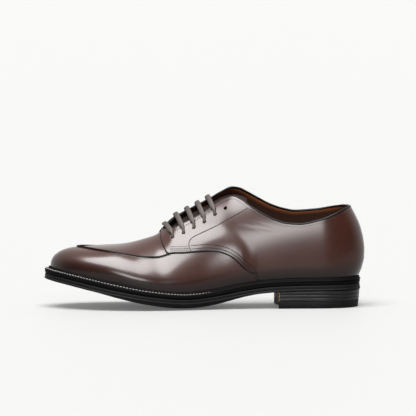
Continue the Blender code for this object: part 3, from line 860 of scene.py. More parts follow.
columns = base.shape[1]
last_column = BACK_COUNT + FRONT_COUNT
crown = np.arange(BACK_COUNT, last_column + 1)
mirrored = (columns - crown) % columns
normals = grid_normals(base)
shared = normals[-1, crown] + normals[-1, mirrored]
shared /= np.linalg.norm(shared, axis=-1, keepdims=True)
normals[-1, crown] = shared
normals[-1, mirrored] = shared
middle_relief = (relief[-1, crown] + relief[-1, mirrored]) / 2
relief[-1, crown] = middle_relief
relief[-1, mirrored] = middle_relief


def rim_faces(first, second, flip=False):
    """Faces that close the topline between two loops; the crown in front of the throat is shut already."""
    here = np.arange(columns)
    after = (here + 1) % columns
    front = (here >= BACK_COUNT) & (here <= columns - BACK_COUNT)
    shut = front & (after >= BACK_COUNT) & (after <= columns - BACK_COUNT)
    made = np.stack([first + here, first + after, second + after, second + here], axis=1)[~shut]
    return made[:, ::-1] if flip else made


def wall(name, outer, inner, rows, finish, marks):
    """A closed wall from two grids of the same loops; rows are those that the inner one keeps."""
    kept = inner[rows]
    inside = outer.shape[0] * columns
    faces = np.concatenate([
        quads(0, outer.shape[0], columns, True),
        quads(inside, len(rows), columns, True, flip=True),
        np.stack([inside + (np.arange(columns) + 1) % columns, (np.arange(columns) + 1) % columns,
                  np.arange(columns), inside + np.arange(columns)], axis=1)[:, ::-1],
        rim_faces((outer.shape[0] - 1) * columns, inside + (len(rows) - 1) * columns),
    ])
    points = np.concatenate([outer.reshape(-1, 3), kept.reshape(-1, 3)])
    values = {"burnish_and_shade": np.concatenate([marks.ravel(), marks[rows].ravel()])}
    return piece(name, points, faces, finish, values)


row_count = len(ROW_KINDS)
inner_rows = list(range(0, row_count - 1, INNER_EVERY)) + [row_count - 1]
upper = wall("vamp_and_quarters", base + normals * relief[..., None], base - normals * LEATHER,
             inner_rows, upper_leather, burnish_and_shade)
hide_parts("upper")
report(upper)

lining_rows = list(range(0, row_count - 1, 3)) + [row_count - 1]
# Only the top rows keep the lining's tan; below them the lining is painted dark as shade.
lining_marks = np.zeros((len(lining_rows), columns))
lining_marks[-3:] = np.array([0.3, 1.0, 1.0])[:, None]
lining_outer = (base - normals * (LEATHER + 0.05))[lining_rows]
lining_inner = (base - normals * WALL)[lining_rows]
lining = wall("lining", lining_outer, lining_inner, list(range(len(lining_rows))), lining_leather,
              lining_marks)
report(lining)

# %% [markdown]
# ## A cord carried along a path
# Bindings, laces and stitches are all one oval carried along a path. At each point the oval needs its
# own two directions: one across the piece and one out of the surface it lies on.


# %% Ovals along a path
def unit(vectors):
    return vectors / np.maximum(np.linalg.norm(vectors, axis=-1, keepdims=True), 1e-9)


def oval_along(path, outward, half_across, half_out, around=12, power=1.0):
    """Points of an oval at each path point: cosine across, sine outwards; a power below 1 makes it boxy."""
    tangent = unit(np.gradient(path, axis=0))
    across = unit(np.cross(outward, tangent))
    out = unit(np.cross(tangent, across))
    turn = np.linspace(0, 2 * np.pi, around, endpoint=False)
    c = np.sign(np.cos(turn)) * np.abs(np.cos(turn)) ** power
    h = np.sign(np.sin(turn)) * np.abs(np.sin(turn)) ** power
    wide = np.broadcast_to(half_across, (len(path),))[:, None, None]
    high = np.broadcast_to(half_out, (len(path),))[:, None, None]
    return path[:, None] + across[:, None] * c[None, :, None] * wide + out[:, None] * h[None, :, None] * high


def capped_tube(grid, start=0):
    """Faces of a tube with a point at each end; the points follow the grid's own."""
    rows, around = grid.shape[:2]
    size = rows * around
    here = np.arange(around)
    after = (here + 1) % around
    ends = np.concatenate([grid.reshape(-1, 3), grid[:1].mean(axis=1), grid[-1:].mean(axis=1)])
    body = quads(start, rows, around, True).tolist()
    first = np.stack([start + here, start + after, np.full(around, start + size)], axis=1)[:, ::-1].tolist()
    last = np.stack([start + size - around + here, start + size - around + after,
                     np.full(around, start + size + 1)], axis=1).tolist()
    return ends, body + first + last


def build_tube(name, grid, finish, values=None):
    """One capped tube; values are rows of numbers, spread round each oval."""
    points, faces = capped_tube(grid)
    spread = {}
    for key, numbers in (values or {}).items():
        rows = numbers if np.ndim(numbers) == 2 else np.asarray(numbers)[:, None]
        full = np.broadcast_to(rows, grid.shape[:2])
        spread[key] = np.concatenate([full.ravel(), full[:1].mean(axis=1), full[-1:].mean(axis=1)])
    mesh = bpy.data.meshes.new(name)
    mesh.from_pydata(world(points).tolist(), [], faces)
    keep_values(mesh, spread)
    work = bmesh.new()
    work.from_mesh(mesh)
    bmesh.ops.recalc_face_normals(work, faces=work.faces)
    work.to_mesh(mesh)
    work.free()
    return stand(name, mesh, finish)


print("tube helpers ready")

# %% [markdown]
# ## The bound topline
# A strip of black leather is folded over the raw edge of leather and lining. It is an oval a little
# wider than the wall, carried from the throat round the heel and back to the throat.

# %% Topline binding
BINDING_HALF = 1.3
BINDING_HIGH = 1.25
inner_columns = np.arange(columns - 1, columns - BACK_COUNT - 1, -1)
order = np.concatenate([np.arange(BACK_COUNT, 0, -1), [0], inner_columns])
top_edge = (base - normals * (WALL / 2) + normals * relief[..., None] * 0.5)[-1, order]
top_normal = normals[-1, order]
binding_grid = oval_along(top_edge, top_normal, BINDING_HIGH, BINDING_HALF + 0.4 * relief[-1, order])
binding = build_tube("topline_binding", binding_grid, edge_leather,
                     {"burnish_and_shade": np.zeros(len(order))})
report(binding)

# %% [markdown]
# ## Profiles carried round the shoe
# Welt and sole edge are profiles carried round the outline. Each point of a profile names its outline
# (how far in from the sole's edge) and its height above a named surface, and gives one loop.

# %% Loops of a profile
ROUND_STATIONS = 230


def ease(count):
    """Even angles turned to shares that crowd at both ends."""
    return (1 - np.cos(np.pi * np.arange(count + 1) / count)) / 2


def outline_loop(inward, offset, height, count=ROUND_STATIONS):
    """One loop round the shoe on the outline with the given inset; height is a function of s and y."""
    back, tip = outline_ends(inward, offset)
    s = back + (tip - back) * ease(count)
    halves = []
    for side in (-1, 1):
        y = swing(s) + side * half_width(side, s, inward, offset)
        halves.append(np.stack([s, y, height(s, y) + 0 * s], axis=-1)[None])
    return ring_of(*halves)[0]


def loop_length(loop):
    return np.linalg.norm(np.roll(loop, -1, axis=0) - loop, axis=1).sum()


def over(surface_name, lift):
    """A height function: a named surface plus a lift."""
    surfaces = {
        "bed": bed,
        "tread": tread,
        "welt": lambda s, y: read(SIDE, "welt_top", s),
    }
    return lambda s, y: surfaces[surface_name](s, y) + lift


print("sole outline: %.0f mm round" % loop_length(outline_loop(0, 0, over("welt", 0))))

# %% [markdown]
# ## The storm welt
# A strip sewn round the upper: its flange lies on the sole, and a lip turned up against the leather
# keeps water out. The light thread that holds the flange is sewn on further down.

# %% Welt
LIP_OUT = -WELT_CLEAR - LIP_WALL
WELT_PROFILE = (
    (0, 1.1, "bed", BED_CLEAR),
    (0, 0.45, "bed", BED_CLEAR + 0.1),
    (0, 0.15, "bed", BED_CLEAR + 0.6),
    (0, 0.1, "bed", BED_CLEAR + 1.2),
    (0, 0.1, "welt", -1.0),
    (0, 0.2, "welt", -0.5),
    (0, 0.5, "welt", -0.15),
    (0, 0.9, "welt", 0.0),
    (0, 1.5, "welt", 0.0),
    (1, LIP_OUT - 1.1, "welt", -0.05),
    (1, LIP_OUT - 0.6, "welt", 0.05),
    (1, LIP_OUT - 0.2, "welt", 0.5),
    (1, LIP_OUT, "welt", STORM_LIP - 1.4),
    (1, LIP_OUT + 0.05, "welt", STORM_LIP - 0.8),
    (1, LIP_OUT + 0.3, "welt", STORM_LIP - 0.25),
    (1, LIP_OUT + 0.65, "welt", STORM_LIP),
    (1, LIP_OUT + 1.0, "welt", STORM_LIP - 0.15),
    (1, -WELT_CLEAR, "welt", STORM_LIP - 0.7),
    (1, -WELT_CLEAR, "bed", BED_CLEAR),
)
welt_loops = np.array([outline_loop(i, o, over(name, lift)) for i, o, name, lift in WELT_PROFILE])
welt_columns = welt_loops.shape[1]
welt_closed = np.concatenate([welt_loops, welt_loops[:1]])
welt_faces = quads(0, len(welt_closed), welt_columns, True)
welt = piece("storm_welt", welt_closed, welt_faces, welt_leather,
             {"burnish_and_shade": np.zeros(welt_closed.shape[:2])})
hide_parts("welt")
report(welt)

# %% [markdown]
# ## Rubber and stacked leather
# The sole's edge is black and dull, with fine marks along it from trimming. The heel's layers are
# leather, blacked on the outside and left brown on the breast, the face under the arch.

# %% Sole and heel finishes
def edge_finish(name, dark, worn, roughness):
    """Inked edge: a dark tone that turns to a worn one in soft scuffs, and lighter in small specks painted
    as glints, with fine flat lines as relief.
    """
    made, shader, place = new_finish(name, Specular_IOR_Level=0.08)
    scuff = place.noise(90.0, 4.0).between(0.35, 0.75)
    fine = place.stretched(0.25, 0.25, 2.6).noise(700.0, 3.0)
    lit = place.noise(900.0, 2.0).between(0.55, 0.8)
    # The lit specks are painted glints on the edge.
    feed(shader, Base_Color=(scuff * 0.7 + lit * 0.3).mix(dark, worn),
         Roughness=scuff * 0.14 + fine * 0.1 + roughness,
         Normal=(fine * 0.7 + lit * 0.3).bump(0.45, 0.00015))
    return made


sole_edge = edge_finish("sole_rubber", (0.0014, 0.0014, 0.0015, 1), (0.0040, 0.0039, 0.0041, 1), 0.5)
heel_black = edge_finish("heel_edge_ink", (0.0018, 0.0017, 0.0019, 1), (0.0045, 0.0043, 0.0047, 1), 0.5)


def breast_finish():
    """Bare stacked leather: brown, with fine layers and pores, inked black beyond the breast's edge."""
    made, shader, place = new_finish("heel_leather", Specular_IOR_Level=0.2)
    layer = place.stretched(0.15, 0.15, 3.0).noise(420.0, 3.0)
    pore = place.noise(1200.0, 2.0).between(0.45, 0.75)
    brown = layer.between(0.3, 0.7).mix((0.06, 0.027, 0.012, 1), (0.13, 0.062, 0.028, 1))
    scuff = place.noise(90.0, 4.0).between(0.35, 0.75)
    ink = scuff.mix((0.0030, 0.0028, 0.0031, 1), (0.0075, 0.0072, 0.0078, 1))
    bare = place.attribute("breast").between(0.45, 0.55)
    feed(shader, Base_Color=bare.mix(ink, brown), Roughness=bare * 0.25 + scuff * 0.12 + 0.36,
         Normal=(layer * 0.6 + pore * 0.4).bump(0.4, 0.00015))
    return made


heel_leather = breast_finish()
print("finishes:", sole_edge.name, heel_black.name, heel_leather.name)

# %% [markdown]
# ## The outsole
# One sheet with toe spring, arch and a dip across the ball. Its edge is cut in steps: a thin lip at
# the bottom, a groove over it, and the sole's side under the welt.

# %% Outsole
def station_grid(inward, offset, across, count, breast=None):
    """Points of an outline's inside, stations by points across it."""
    back, tip = outline_ends(inward, offset)
    span = np.linspace(-1, 1, across + 1)
    if breast is None:
        s = np.repeat((back + (tip - back) * ease(count))[:, None], across + 1, axis=1)
    else:
        front = breast - BREAST_HOLLOW * (1 - span**2)
        quarter_turn = 1 - np.cos(np.pi / 2 * np.arange(count + 1) / count)
        s = back + (front[None, :] - back) * quarter_turn[:, None]
    wide = np.where(span < 0, half_width(-1, s, inward, offset), half_width(1, s, inward, offset))
    return s, swing(s) + wide * span


def border(rows, cols):
    """Grid indices round the edge of an open grid, as one loop."""
    index = np.arange(rows * cols).reshape(rows, cols)
    return np.concatenate([index[0, :], index[1:, -1], index[-1, -2::-1], index[-2:0:-1, 0]])


def plate(under, levels, top, across, count, breast=None):
    """Points and faces of a solid between two full surfaces, with loops round its edge between them.

    under, top and the levels are (offset, height function) on the sole's own outline."""
    points, faces, loops = [], [], []
    start = 0
    stack = [(True, under)] + [(False, level) for level in levels] + [(True, top)]
    for full, (offset, height) in stack:
        s, y = station_grid(0, offset, across, count, breast)
        here = np.stack([s, y, height(s, y) + 0 * s], axis=-1)
        rim = border(*s.shape)
        if full:
            points.append(here.reshape(-1, 3))
            faces += quads(start, *s.shape, False).tolist()
            loops.append(start + rim)
        else:
            points.append(here.reshape(-1, 3)[rim])
            loops.append(start + np.arange(len(rim)))
        start += len(points[-1])
    for low, high in zip(loops, loops[1:]):
        faces += np.stack([low, np.roll(low, -1), np.roll(high, -1), high], axis=1).tolist()
    return np.concatenate(points), faces


def part_way(share):
    """A height between the tread and the bed."""
    return lambda s, y: tread(s, y) + (bed(s, y) - tread(s, y)) * share


EDGE_LEVELS = (
    (-0.05, part_way(0.02)),
    (-0.25, part_way(0.09)),
    (-0.30, part_way(0.18)),
    (-0.25, part_way(0.27)),
    (0.05, part_way(0.33)),
    (0.35, part_way(0.36)),
    (0.35, part_way(0.42)),
    (0.25, part_way(0.46)),
    (0.20, part_way(0.54)),
    (0.20, part_way(0.72)),
    (0.30, part_way(0.86)),
    (0.60, part_way(0.96)),
)
sole_points, sole_faces = plate((0.4, tread), EDGE_LEVELS, (1.1, bed), across=22, count=170)
outsole = piece("stepped_outsole", sole_points, sole_faces, sole_edge)
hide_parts("outsole")
report(outsole)

# %% [markdown]
# ## The stacked heel
# Three leather lifts stand on a rubber top lift. Each is cut from a sheet, so each is a plate with its
# edges just broken, and the stack narrows a little towards the floor.

# %% Heel
HEEL_BREAST = 79.7
BREAST_HOLLOW = 3.0
SEAT = 16.2
LIFT_INSET = 0.4
LIFT_EDGE = 0.35
TOP_LIFT = 6.6
LIFTS = 3
HEEL_TAPER = 1.5
lift_height = (SEAT - TOP_LIFT) / LIFTS - GAP


def heel_layer(name, low, high, finish, follows_sole):
    """One lift from low to high; the last one's top follows the sole above it."""
    def top(s, y, drop=0.0):
        return (tread(s, y) - GAP if follows_sole else high + 0 * s) - drop

    def bottom(s, y, rise=0.0):
        return low + rise + 0 * s
    inset_low = LIFT_INSET + HEEL_TAPER * (1 - low / SEAT)
    inset_high = LIFT_INSET + HEEL_TAPER * (1 - high / SEAT)
    levels = (
        (inset_low + 0.1, lambda s, y: bottom(s, y, 0.1)),
        (inset_low, lambda s, y: bottom(s, y, LIFT_EDGE)),
        (inset_high, lambda s, y: top(s, y, LIFT_EDGE)),
        (inset_high + 0.1, lambda s, y: top(s, y, 0.1)),
    )
    points, faces = plate((inset_low + LIFT_EDGE, bottom), levels, (inset_high + LIFT_EDGE, top),
                          across=20, count=60, breast=HEEL_BREAST)
    side = np.where(points[:, 1] < swing(points[:, 0]), -1, 1)
    half = np.where(side < 0, half_width(-1, points[:, 0], 0, 0), half_width(1, points[:, 0], 0, 0))
    front = HEEL_BREAST - BREAST_HOLLOW * (1 - (points[:, 1] / half) ** 2)
    breast = (points[:, 0] > front - 0.3).astype(float)
    made = piece(name, points, faces, finish, {"breast": breast})
    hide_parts(name.replace("_layer", ""))
    report(made)
    return made


heel_layer("heel_top_lift_layer", 0.0, TOP_LIFT, heel_black, False)
for number in range(LIFTS):
    low = TOP_LIFT + GAP + number * (lift_height + GAP)
    heel_layer(f"heel_lift_{number + 1}_layer", low, low + lift_height, heel_leather,
               number == LIFTS - 1)

# %% [markdown]
# ## The surface with a lift
# Stitches, laces and the tongue are placed by the last's own two parameters, at a distance above or
# below its surface, so they lie on the leather wherever they are.


# %% A point above the last
def surface(s, side, phi, lift):
    """A point at a distance above the last's surface, behind the toe's cap, and the normal there."""
    s = np.asarray(s, float)
    phi = np.asarray(phi, float)
    tip = SOLE_TIP - PLAN["flange"][-1]

    def at(where, angle):
        return np.stack(np.broadcast_arrays(*last_point(where, side, angle, tip)), axis=-1)
    here = at(s, phi)
    along = at(s + 0.5, phi) - at(s - 0.5, phi)
    up = at(s, np.clip(phi + 0.01, 0, np.pi / 2)) - at(s, np.clip(phi - 0.01, 0, np.pi / 2))
    normal = unit(np.cross(up, along) * side)
    return here + normal * np.asarray(lift)[..., None], normal


TONGUE_FIELDS = table(
    ("s", "lateral_reach", "medial_reach", "sink", "drop"),
    (110, 0.40, 0.40, 5.8, 9.0),
    (122, 0.46, 0.44, 5.8, 3.5),
    (134, 0.46, 0.44, 5.8, 0.6),
    (150, 0.46, 0.44, 5.8, 0.0),
    (178, 0.40, 0.40, 5.6, 0.0),
    (188, 0.36, 0.36, 3.9, 0.0),
    (200, 0.30, 0.30, WALL + GAP + 0.1, 0.0),
)
REACH = 1.15
SKIVE = 0.8

# %% [markdown]
# ## The tongue
# A padded sheet under the facings, sewn below the throat. Its edges are skived, pared thin, so they
# don't press on the foot: the two faces of the sheet draw together towards its rim.

# %% Tongue
tongue_s = np.concatenate([109.5 + 6.5 * ease(16)[:9] * 2, np.linspace(117, 198, 60)])
tongue_span = np.sin(np.pi / 2 * np.linspace(-1, 1, 41))


def tongue_face(below):
    """One face of the tongue: below is 0 for its upper face and 1 for its lower one."""
    lines = []
    for share in tongue_span:
        side = -1 if share < 0 else 1
        reach = read(TONGUE_FIELDS, side_name(side) + "_reach", tongue_s)
        end = np.sqrt(np.clip((tongue_s - 108.5) / 9.0, 0.15, 1))
        phi = np.pi / 2 - np.arcsin(reach * abs(share) * (0.7 + 0.3 * end)) * REACH
        thin = smooth(abs(share), 0.8, 1.0)
        thick = TONGUE * (1 - SKIVE * np.maximum(thin, 1 - smooth(tongue_s, 109, 114)))
        sink = read(TONGUE_FIELDS, "sink", tongue_s) + TONGUE / 2 + (below - 0.5) * thick
        points = surface(tongue_s, side, phi, -sink)[0]
        points[:, 2] -= read(TONGUE_FIELDS, "drop", tongue_s)
        lines.append(points)
    return np.stack(lines, axis=1)


tongue_faces = [tongue_face(0), tongue_face(1)]
rows, cols = tongue_faces[0].shape[:2]
rim = border(rows, cols)
size = rows * cols
faces = quads(0, rows, cols, False).tolist() + quads(size, rows, cols, False).tolist()
faces += np.stack([rim, np.roll(rim, -1), np.roll(rim, -1) + size, rim + size], axis=1).tolist()
tongue_points = np.concatenate([face.reshape(-1, 3) for face in tongue_faces])
tongue = piece("tongue_sheet", tongue_points, faces, tongue_leather,
               {"burnish_and_shade": np.zeros(2 * size)})
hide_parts("tongue")
report(tongue)
# The insole takes the lining's finish, painted dark as shade inside the shoe.
frame["nodes"]["insole"].material_slots[0].material = lining_leather

# %% [markdown]
# ## Six pairs of eyelets
# The holes are punched 12 mm in from the facing's edge and 10 mm apart. A row of small cylinders
# cuts them in one Boolean, and the copies that do the cutting are removed again.

# %% Eyelets
EYELETS = 6
EYELET_FIRST = 180.0
EYELET_PITCH = 10.0
EYELET_INSET = 12.0
EYELET_RADIUS = 1.6
MEDIAL_SHIFT = 2.0


def eyelet(number, side):
    """Centre, outward direction, s and phi of an eyelet, counted from the toe."""
    s = EYELET_FIRST - number * EYELET_PITCH + (MEDIAL_SHIFT if side > 0 else 0.0)
    top = float(top_angle(np.array([s]), side)[0])
    angles = np.linspace(top, top - 0.6, 61)
    points, _ = surface(np.full(61, s), side, angles, np.zeros(61))
    run = np.concatenate([[0], np.cumsum(np.linalg.norm(np.diff(points, axis=0), axis=1))])
    phi = float(np.interp(EYELET_INSET, run, angles))
    point, normal = surface(np.array([s]), side, np.array([phi]), np.array([0.0]))
    return point[0], normal[0], s, phi


def punch(target):
    """Cuts every eyelet through the target with one Boolean, and removes the cutters."""
    work = bmesh.new()
    for side in (-1, 1):
        for number in range(EYELETS):
            point, normal, _, _ = eyelet(number, side)
            facing = Vector((-normal[0], normal[1], normal[2]))
            turn = facing.to_track_quat("Z", "Y").to_matrix().to_4x4()
            turn.translation = Vector(world(point).tolist())
            bmesh.ops.create_cone(work, cap_ends=True, segments=24, radius1=EYELET_RADIUS * MM,
                                  radius2=EYELET_RADIUS * MM, depth=12 * MM, matrix=turn)
    mesh = bpy.data.meshes.new("eyelet_cutters")
    work.to_mesh(mesh)
    work.free()
    cutter = bpy.data.objects.new("eyelet_cutters", mesh)
    bpy.context.scene.collection.objects.link(cutter)
    cut = target.modifiers.new("eyelets", "BOOLEAN")
    cut.object = cutter
    cut.solver = "EXACT"
    bpy.context.view_layer.update()
    seen = target.evaluated_get(bpy.context.evaluated_depsgraph_get())
    done = bpy.data.meshes.new_from_object(seen)
    old = target.data
    target.modifiers.clear()
    target.data = done
    bpy.data.meshes.remove(old)
    bpy.data.objects.remove(cutter, do_unlink=True)


punch(upper)
punch(lining)
report(upper)

# %% [markdown]
# ## The lace
# A flat braided lace of waxed cotton. It crosses the throat in five straight bars, goes down through
# each hole and runs under the facing to the next. The oval is gathered where it passes a hole. The
# weave is drawn with the lace's own length and turn, kept on its points, as bump and as painted shade
# between its strands.

# %% Lace
LACED = 5
BAR_KNOTS = 15
BAR_SWEEP = 16.0
HOLE_SHARE = 0.56
UNDER_SHARE = 0.62
RUN_SHARE = 0.9
LACE_HALF = 2.45
LACE_THIN = 1.2
BAR_RISE = 1.6
UNDER = WALL + GAP + 1.35


def quarter_under(s):
    """How much the quarter stands on the last at the facings, where the lace crosses it."""
    return quarter_thickness(TAB_CORNER + 6 - s)


def lace_route():
    """Rows of (point, width direction, share of the width) from the first hole to the last."""
    rows = []

    def put(point, across, share):
        rows.append((point, across / np.linalg.norm(across), share))
    for number in range(LACED):
        near, far = (-1, 1) if number % 2 == 0 else (1, -1)
        start, end = eyelet(number, near), eyelet(number, far)
        toward = np.array([1.0, 0.0, -0.62])
        put(start[0] - start[1] * UNDER, toward, UNDER_SHARE)
        put(start[0] - start[1] * 0.6, toward, HOLE_SHARE)
        for share in np.linspace(0, 1, BAR_KNOTS):
            across = share * 2 - 1
            side, hole = (near, start) if across < 0 else (far, end)
            inset = 0.10 + 0.90 * (1 - abs(across))
            phi = hole[3] + (np.pi / 2 - hole[3]) * inset
            s = start[2] + (end[2] - start[2]) * share + BAR_SWEEP * share * (1 - share)
            near_end = smooth(abs(across), 0.86, 1.0)
            rise = BAR_RISE * (1 - 0.22 * near_end) + quarter_under(s)
            point, _ = surface(np.array([s]), side, np.array([phi]), np.array([rise]))
            put(point[0], toward, 1 - 0.4 * near_end)
        put(end[0] - end[1] * 0.6, toward, HOLE_SHARE)
        put(end[0] - end[1] * UNDER, toward, UNDER_SHARE)
        if number < LACED - 1:
            follow = eyelet(number + 1, far)
            for share in (0.3, 0.7):
                middle = (end[0] * (1 - share) + follow[0] * share) - end[1] * (UNDER + 0.35)
                put(middle, np.cross(end[1], end[0] - follow[0]), RUN_SHARE)
    return rows


route = lace_route()
knots = np.array([row[0] for row in route])
widths = np.array([row[1] for row in route])
for i in range(1, len(widths)):
    if np.dot(widths[i], widths[i - 1]) < 0:
        widths[i] = -widths[i]
shares = np.array([row[2] for row in route])
run = np.concatenate([[0], np.cumsum(np.linalg.norm(np.diff(knots, axis=0), axis=1))])
sample = np.linspace(0, run[-1], 900)


def along_run(values):
    """Smooth values at the samples: a monotone cubic through the knots, one column at a time."""
    parts = [read({"run": run, "v": column}, "v", sample) for column in np.atleast_2d(values.T)]
    return np.stack(parts, axis=-1) if values.ndim > 1 else parts[0]


lace_path = along_run(knots)
lace_wide = unit(along_run(widths))
lace_out = unit(np.cross(unit(np.gradient(lace_path, axis=0)), lace_wide))
lace_share = along_run(shares)
lace_grid = oval_along(lace_path, lace_out, LACE_HALF * lace_share, LACE_THIN * lace_share,
                       around=20, power=0.8)
print("lace: %.0f mm along its route" % run[-1])

# %% Lace finish and piece
lace_cotton, lace_shader, lace_place = new_finish("lace_cotton", Specular_IOR_Level=0.35)
lace_u = lace_place.attribute("along")
lace_v = lace_place.attribute("round")
BRAID = 2 * math.pi / 1.5
LACE_DARK = (0.005, 0.0030, 0.0022, 1)
LACE_LIGHT = (0.026, 0.0160, 0.0115, 1)


def braid(shift):
    """Slanted strands: a sine of the distance along the lace plus or minus the turn round it."""
    return lace_u.math("SINE", lace_u * BRAID + lace_v * (shift * 6.0)) * 0.5 + 0.5


# The braid's troughs are painted darker as their shade; the noise is the yarn's own uneven tone.
strands = lace_u.math("MAXIMUM", braid(1.0), braid(-1.0))
lace_tone_and_shade = lace_place.noise(300.0, 3.0) * 0.5 + strands * 0.5
lace_colour = lace_tone_and_shade.between(0.25, 0.9).mix(LACE_DARK, LACE_LIGHT)
feed(lace_shader, Base_Color=lace_colour, Roughness=lace_tone_and_shade * 0.15 + 0.5,
     Normal=strands.bump(0.6, 0.00025))
once_round = np.linspace(0, 2 * np.pi, lace_grid.shape[1], endpoint=False)
lace_values = {"along": sample, "round": np.broadcast_to(once_round, lace_grid.shape[:2])}
laces = build_tube("laces_braid", lace_grid, lace_cotton, lace_values)
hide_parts("laces")
report(laces)

# %% [markdown]
# ## Cords on the seams
# A cut edge of leather is inked black, and the apron's seam is sewn over a thin black cord. Each is
# a slim oval that follows one row or one column of the upper's own grid, so it can't drift off it.

# %% Seam cord and inked edges
SEAM_ROW = ROW_KINDS.index(("seam", 0.0))


def on_grid(rows_at, columns_at, lift):
    """Points and normals of the upper's grid along given rows and columns, at a height above the last."""
    here = base[rows_at, columns_at]
    facing = normals[rows_at, columns_at]
    return here + facing * np.asarray(lift)[..., None], facing


def seam_tube(name, rows_at, columns_at, lift, across, out):
    """A slim black oval along rows and columns of the upper's grid."""
    path, facing = on_grid(rows_at, columns_at, lift * np.ones(len(columns_at)))
    grid = oval_along(path, facing, across, out, around=10)
    made = build_tube(name, grid, edge_leather, {"burnish_and_shade": np.ones(len(path))})
    report(made)


front = np.arange(BACK_COUNT, columns - BACK_COUNT + 1)
seam_tube("apron_seam_cord", np.full(len(front), SEAM_ROW), front, SEAM_RIDGE + 0.1, 0.85, 0.6)
first_quarter = int(np.searchsorted(base[SEAM_ROW, :BACK_COUNT, 0], 99.0))
for side_label, lower, tab_column in (
    ("outer", np.arange(BACK_COUNT, first_quarter, -1), BACK_COUNT - 1),
    ("inner", columns - np.arange(BACK_COUNT, first_quarter, -1), columns - BACK_COUNT + 1),
):
    fall = np.maximum(quarter_start(base[SEAM_ROW, lower, 0]), 0.2)
    along_seam = np.full(len(lower), SEAM_ROW)
    seam_tube(f"quarter_edge_{side_label}", along_seam, lower, 0.45 * fall, 0.42, 0.62 * fall)
    up_rows = np.arange(SEAM_ROW, row_count)
    seam_tube(f"tab_edge_{side_label}", up_rows, np.full(len(up_rows), tab_column), 0.6, 0.6, 0.85)

# %% [markdown]
# ## Stitches
# A stitch is a short oval of thread that dips into the leather at both ends. All stitches of a row
# are worked out at once: the row's path is cut into steps of one stitch, and each step gets the same
# small form, bent to the path.

# %% Rows of stitches
STITCH_AROUND = 6
STITCH_ALONG = np.linspace(-1, 1, 7)
TAIL_RUN = 5.5
TAIL_FOOT = 2.6


def path_on_last(s, z, side):
    """A path given by s and height, as points of the last with normals."""
    s = np.asarray(s, float)
    phi = angle_of(s, side, np.asarray(z, float))
    return surface(s, side, phi, np.zeros(len(s)))


def even_steps(path, facing, pitch):
    """Centres, directions and normals of steps of one pitch along a path."""
    run = np.concatenate([[0], np.cumsum(np.linalg.norm(np.diff(path, axis=0), axis=1))])
    at = np.arange(pitch / 2, run[-1], pitch)
    centre = np.stack([np.interp(at, run, path[:, k]) for k in range(3)], axis=-1)
    after = np.stack([np.interp(at + 0.3, run, path[:, k]) for k in range(3)], axis=-1)
    before = np.stack([np.interp(at - 0.3, run, path[:, k]) for k in range(3)], axis=-1)
    normal = unit(np.stack([np.interp(at, run, facing[:, k]) for k in range(3)], axis=-1))
    return centre, unit(after - before), normal


def threads(centre, ahead, normal, length, thick, slant=0.0):
    """Points and faces of many stitches: each is a tapered oval along its own direction, turned by slant."""
    across = unit(np.cross(normal, ahead))
    ahead = ahead * math.cos(slant) + across * math.sin(slant)
    across = unit(np.cross(normal, ahead))
    turn = np.linspace(0, 2 * np.pi, STITCH_AROUND, endpoint=False)
    taper = np.sqrt(np.clip(1 - STITCH_ALONG**2 * 0.92, 0, 1))
    rise = thick * (0.9 - 1.1 * STITCH_ALONG**4)
    spine = centre[:, None] + ahead[:, None] * (STITCH_ALONG * length / 2)[None, :, None]
    spine = spine + normal[:, None] * rise[None, :, None]
    wide = across[:, None, None] * (np.cos(turn)[None, :] * taper[:, None] * thick)[None, ..., None]
    high = normal[:, None, None] * (np.sin(turn)[None, :] * taper[:, None] * thick)[None, ..., None]
    points = spine[:, :, None] + wide + high
    count, along, around = points.shape[:3]
    one = quads(0, along, around, True)
    start_cap = [list(range(around))[::-1]]
    end_cap = [[(along - 1) * around + k for k in range(around)]]
    faces = []
    for offset in range(0, count * along * around, along * around):
        faces += (one + offset).tolist() + [[k + offset for k in cap] for cap in start_cap + end_cap]
    return points.reshape(-1, 3), faces


def stitch_piece(name, sets, finish):
    """One object from several sets of stitches."""
    points, faces, start = [], [], 0
    for more, cells in sets:
        points.append(more)
        faces += [[k + start for k in cell] for cell in cells]
        start += len(more)
    report(piece(name, np.concatenate(points), faces, finish, merge=0.0000001, turn_out=False))


def seam_height(s):
    foot = read(SIDE, "welt_top", s)
    return foot + (read(LAST, "crown", s) - foot) * read(SEAM, "share", s)


def seam_offset(start_s, end_s, away, count=160):
    """A path that keeps its distance from the quarter's lower edge, as (s, z)."""
    s = np.linspace(start_s, end_s, count)
    z = seam_height(s)
    ds, dz = np.gradient(s), np.gradient(z)
    size = np.hypot(ds, dz)
    return s + dz / size * away, z - ds / size * away


def down_to_welt(line_s, line_z):
    """The same path, carried on down to the welt with a lean of its own."""
    tail = np.linspace(0, 1, 40)[1:]
    foot = read(SIDE, "welt_top", line_s[-1] - TAIL_RUN)
    return (np.concatenate([line_s, line_s[-1] - TAIL_RUN * tail]),
            np.concatenate([line_z, line_z[-1] + (foot + TAIL_FOOT - line_z[-1]) * tail]))


print("stitch helpers ready")

# %% [markdown]
# ## Where the thread runs
# Two rows follow the quarter's lower edge. One row holds the facing's lining and turns down to that
# edge behind the eyelets. A dense double row tacks the tab's bottom to the vamp. A fine row follows
# the binding round the topline, and a thick waxed one holds the welt.

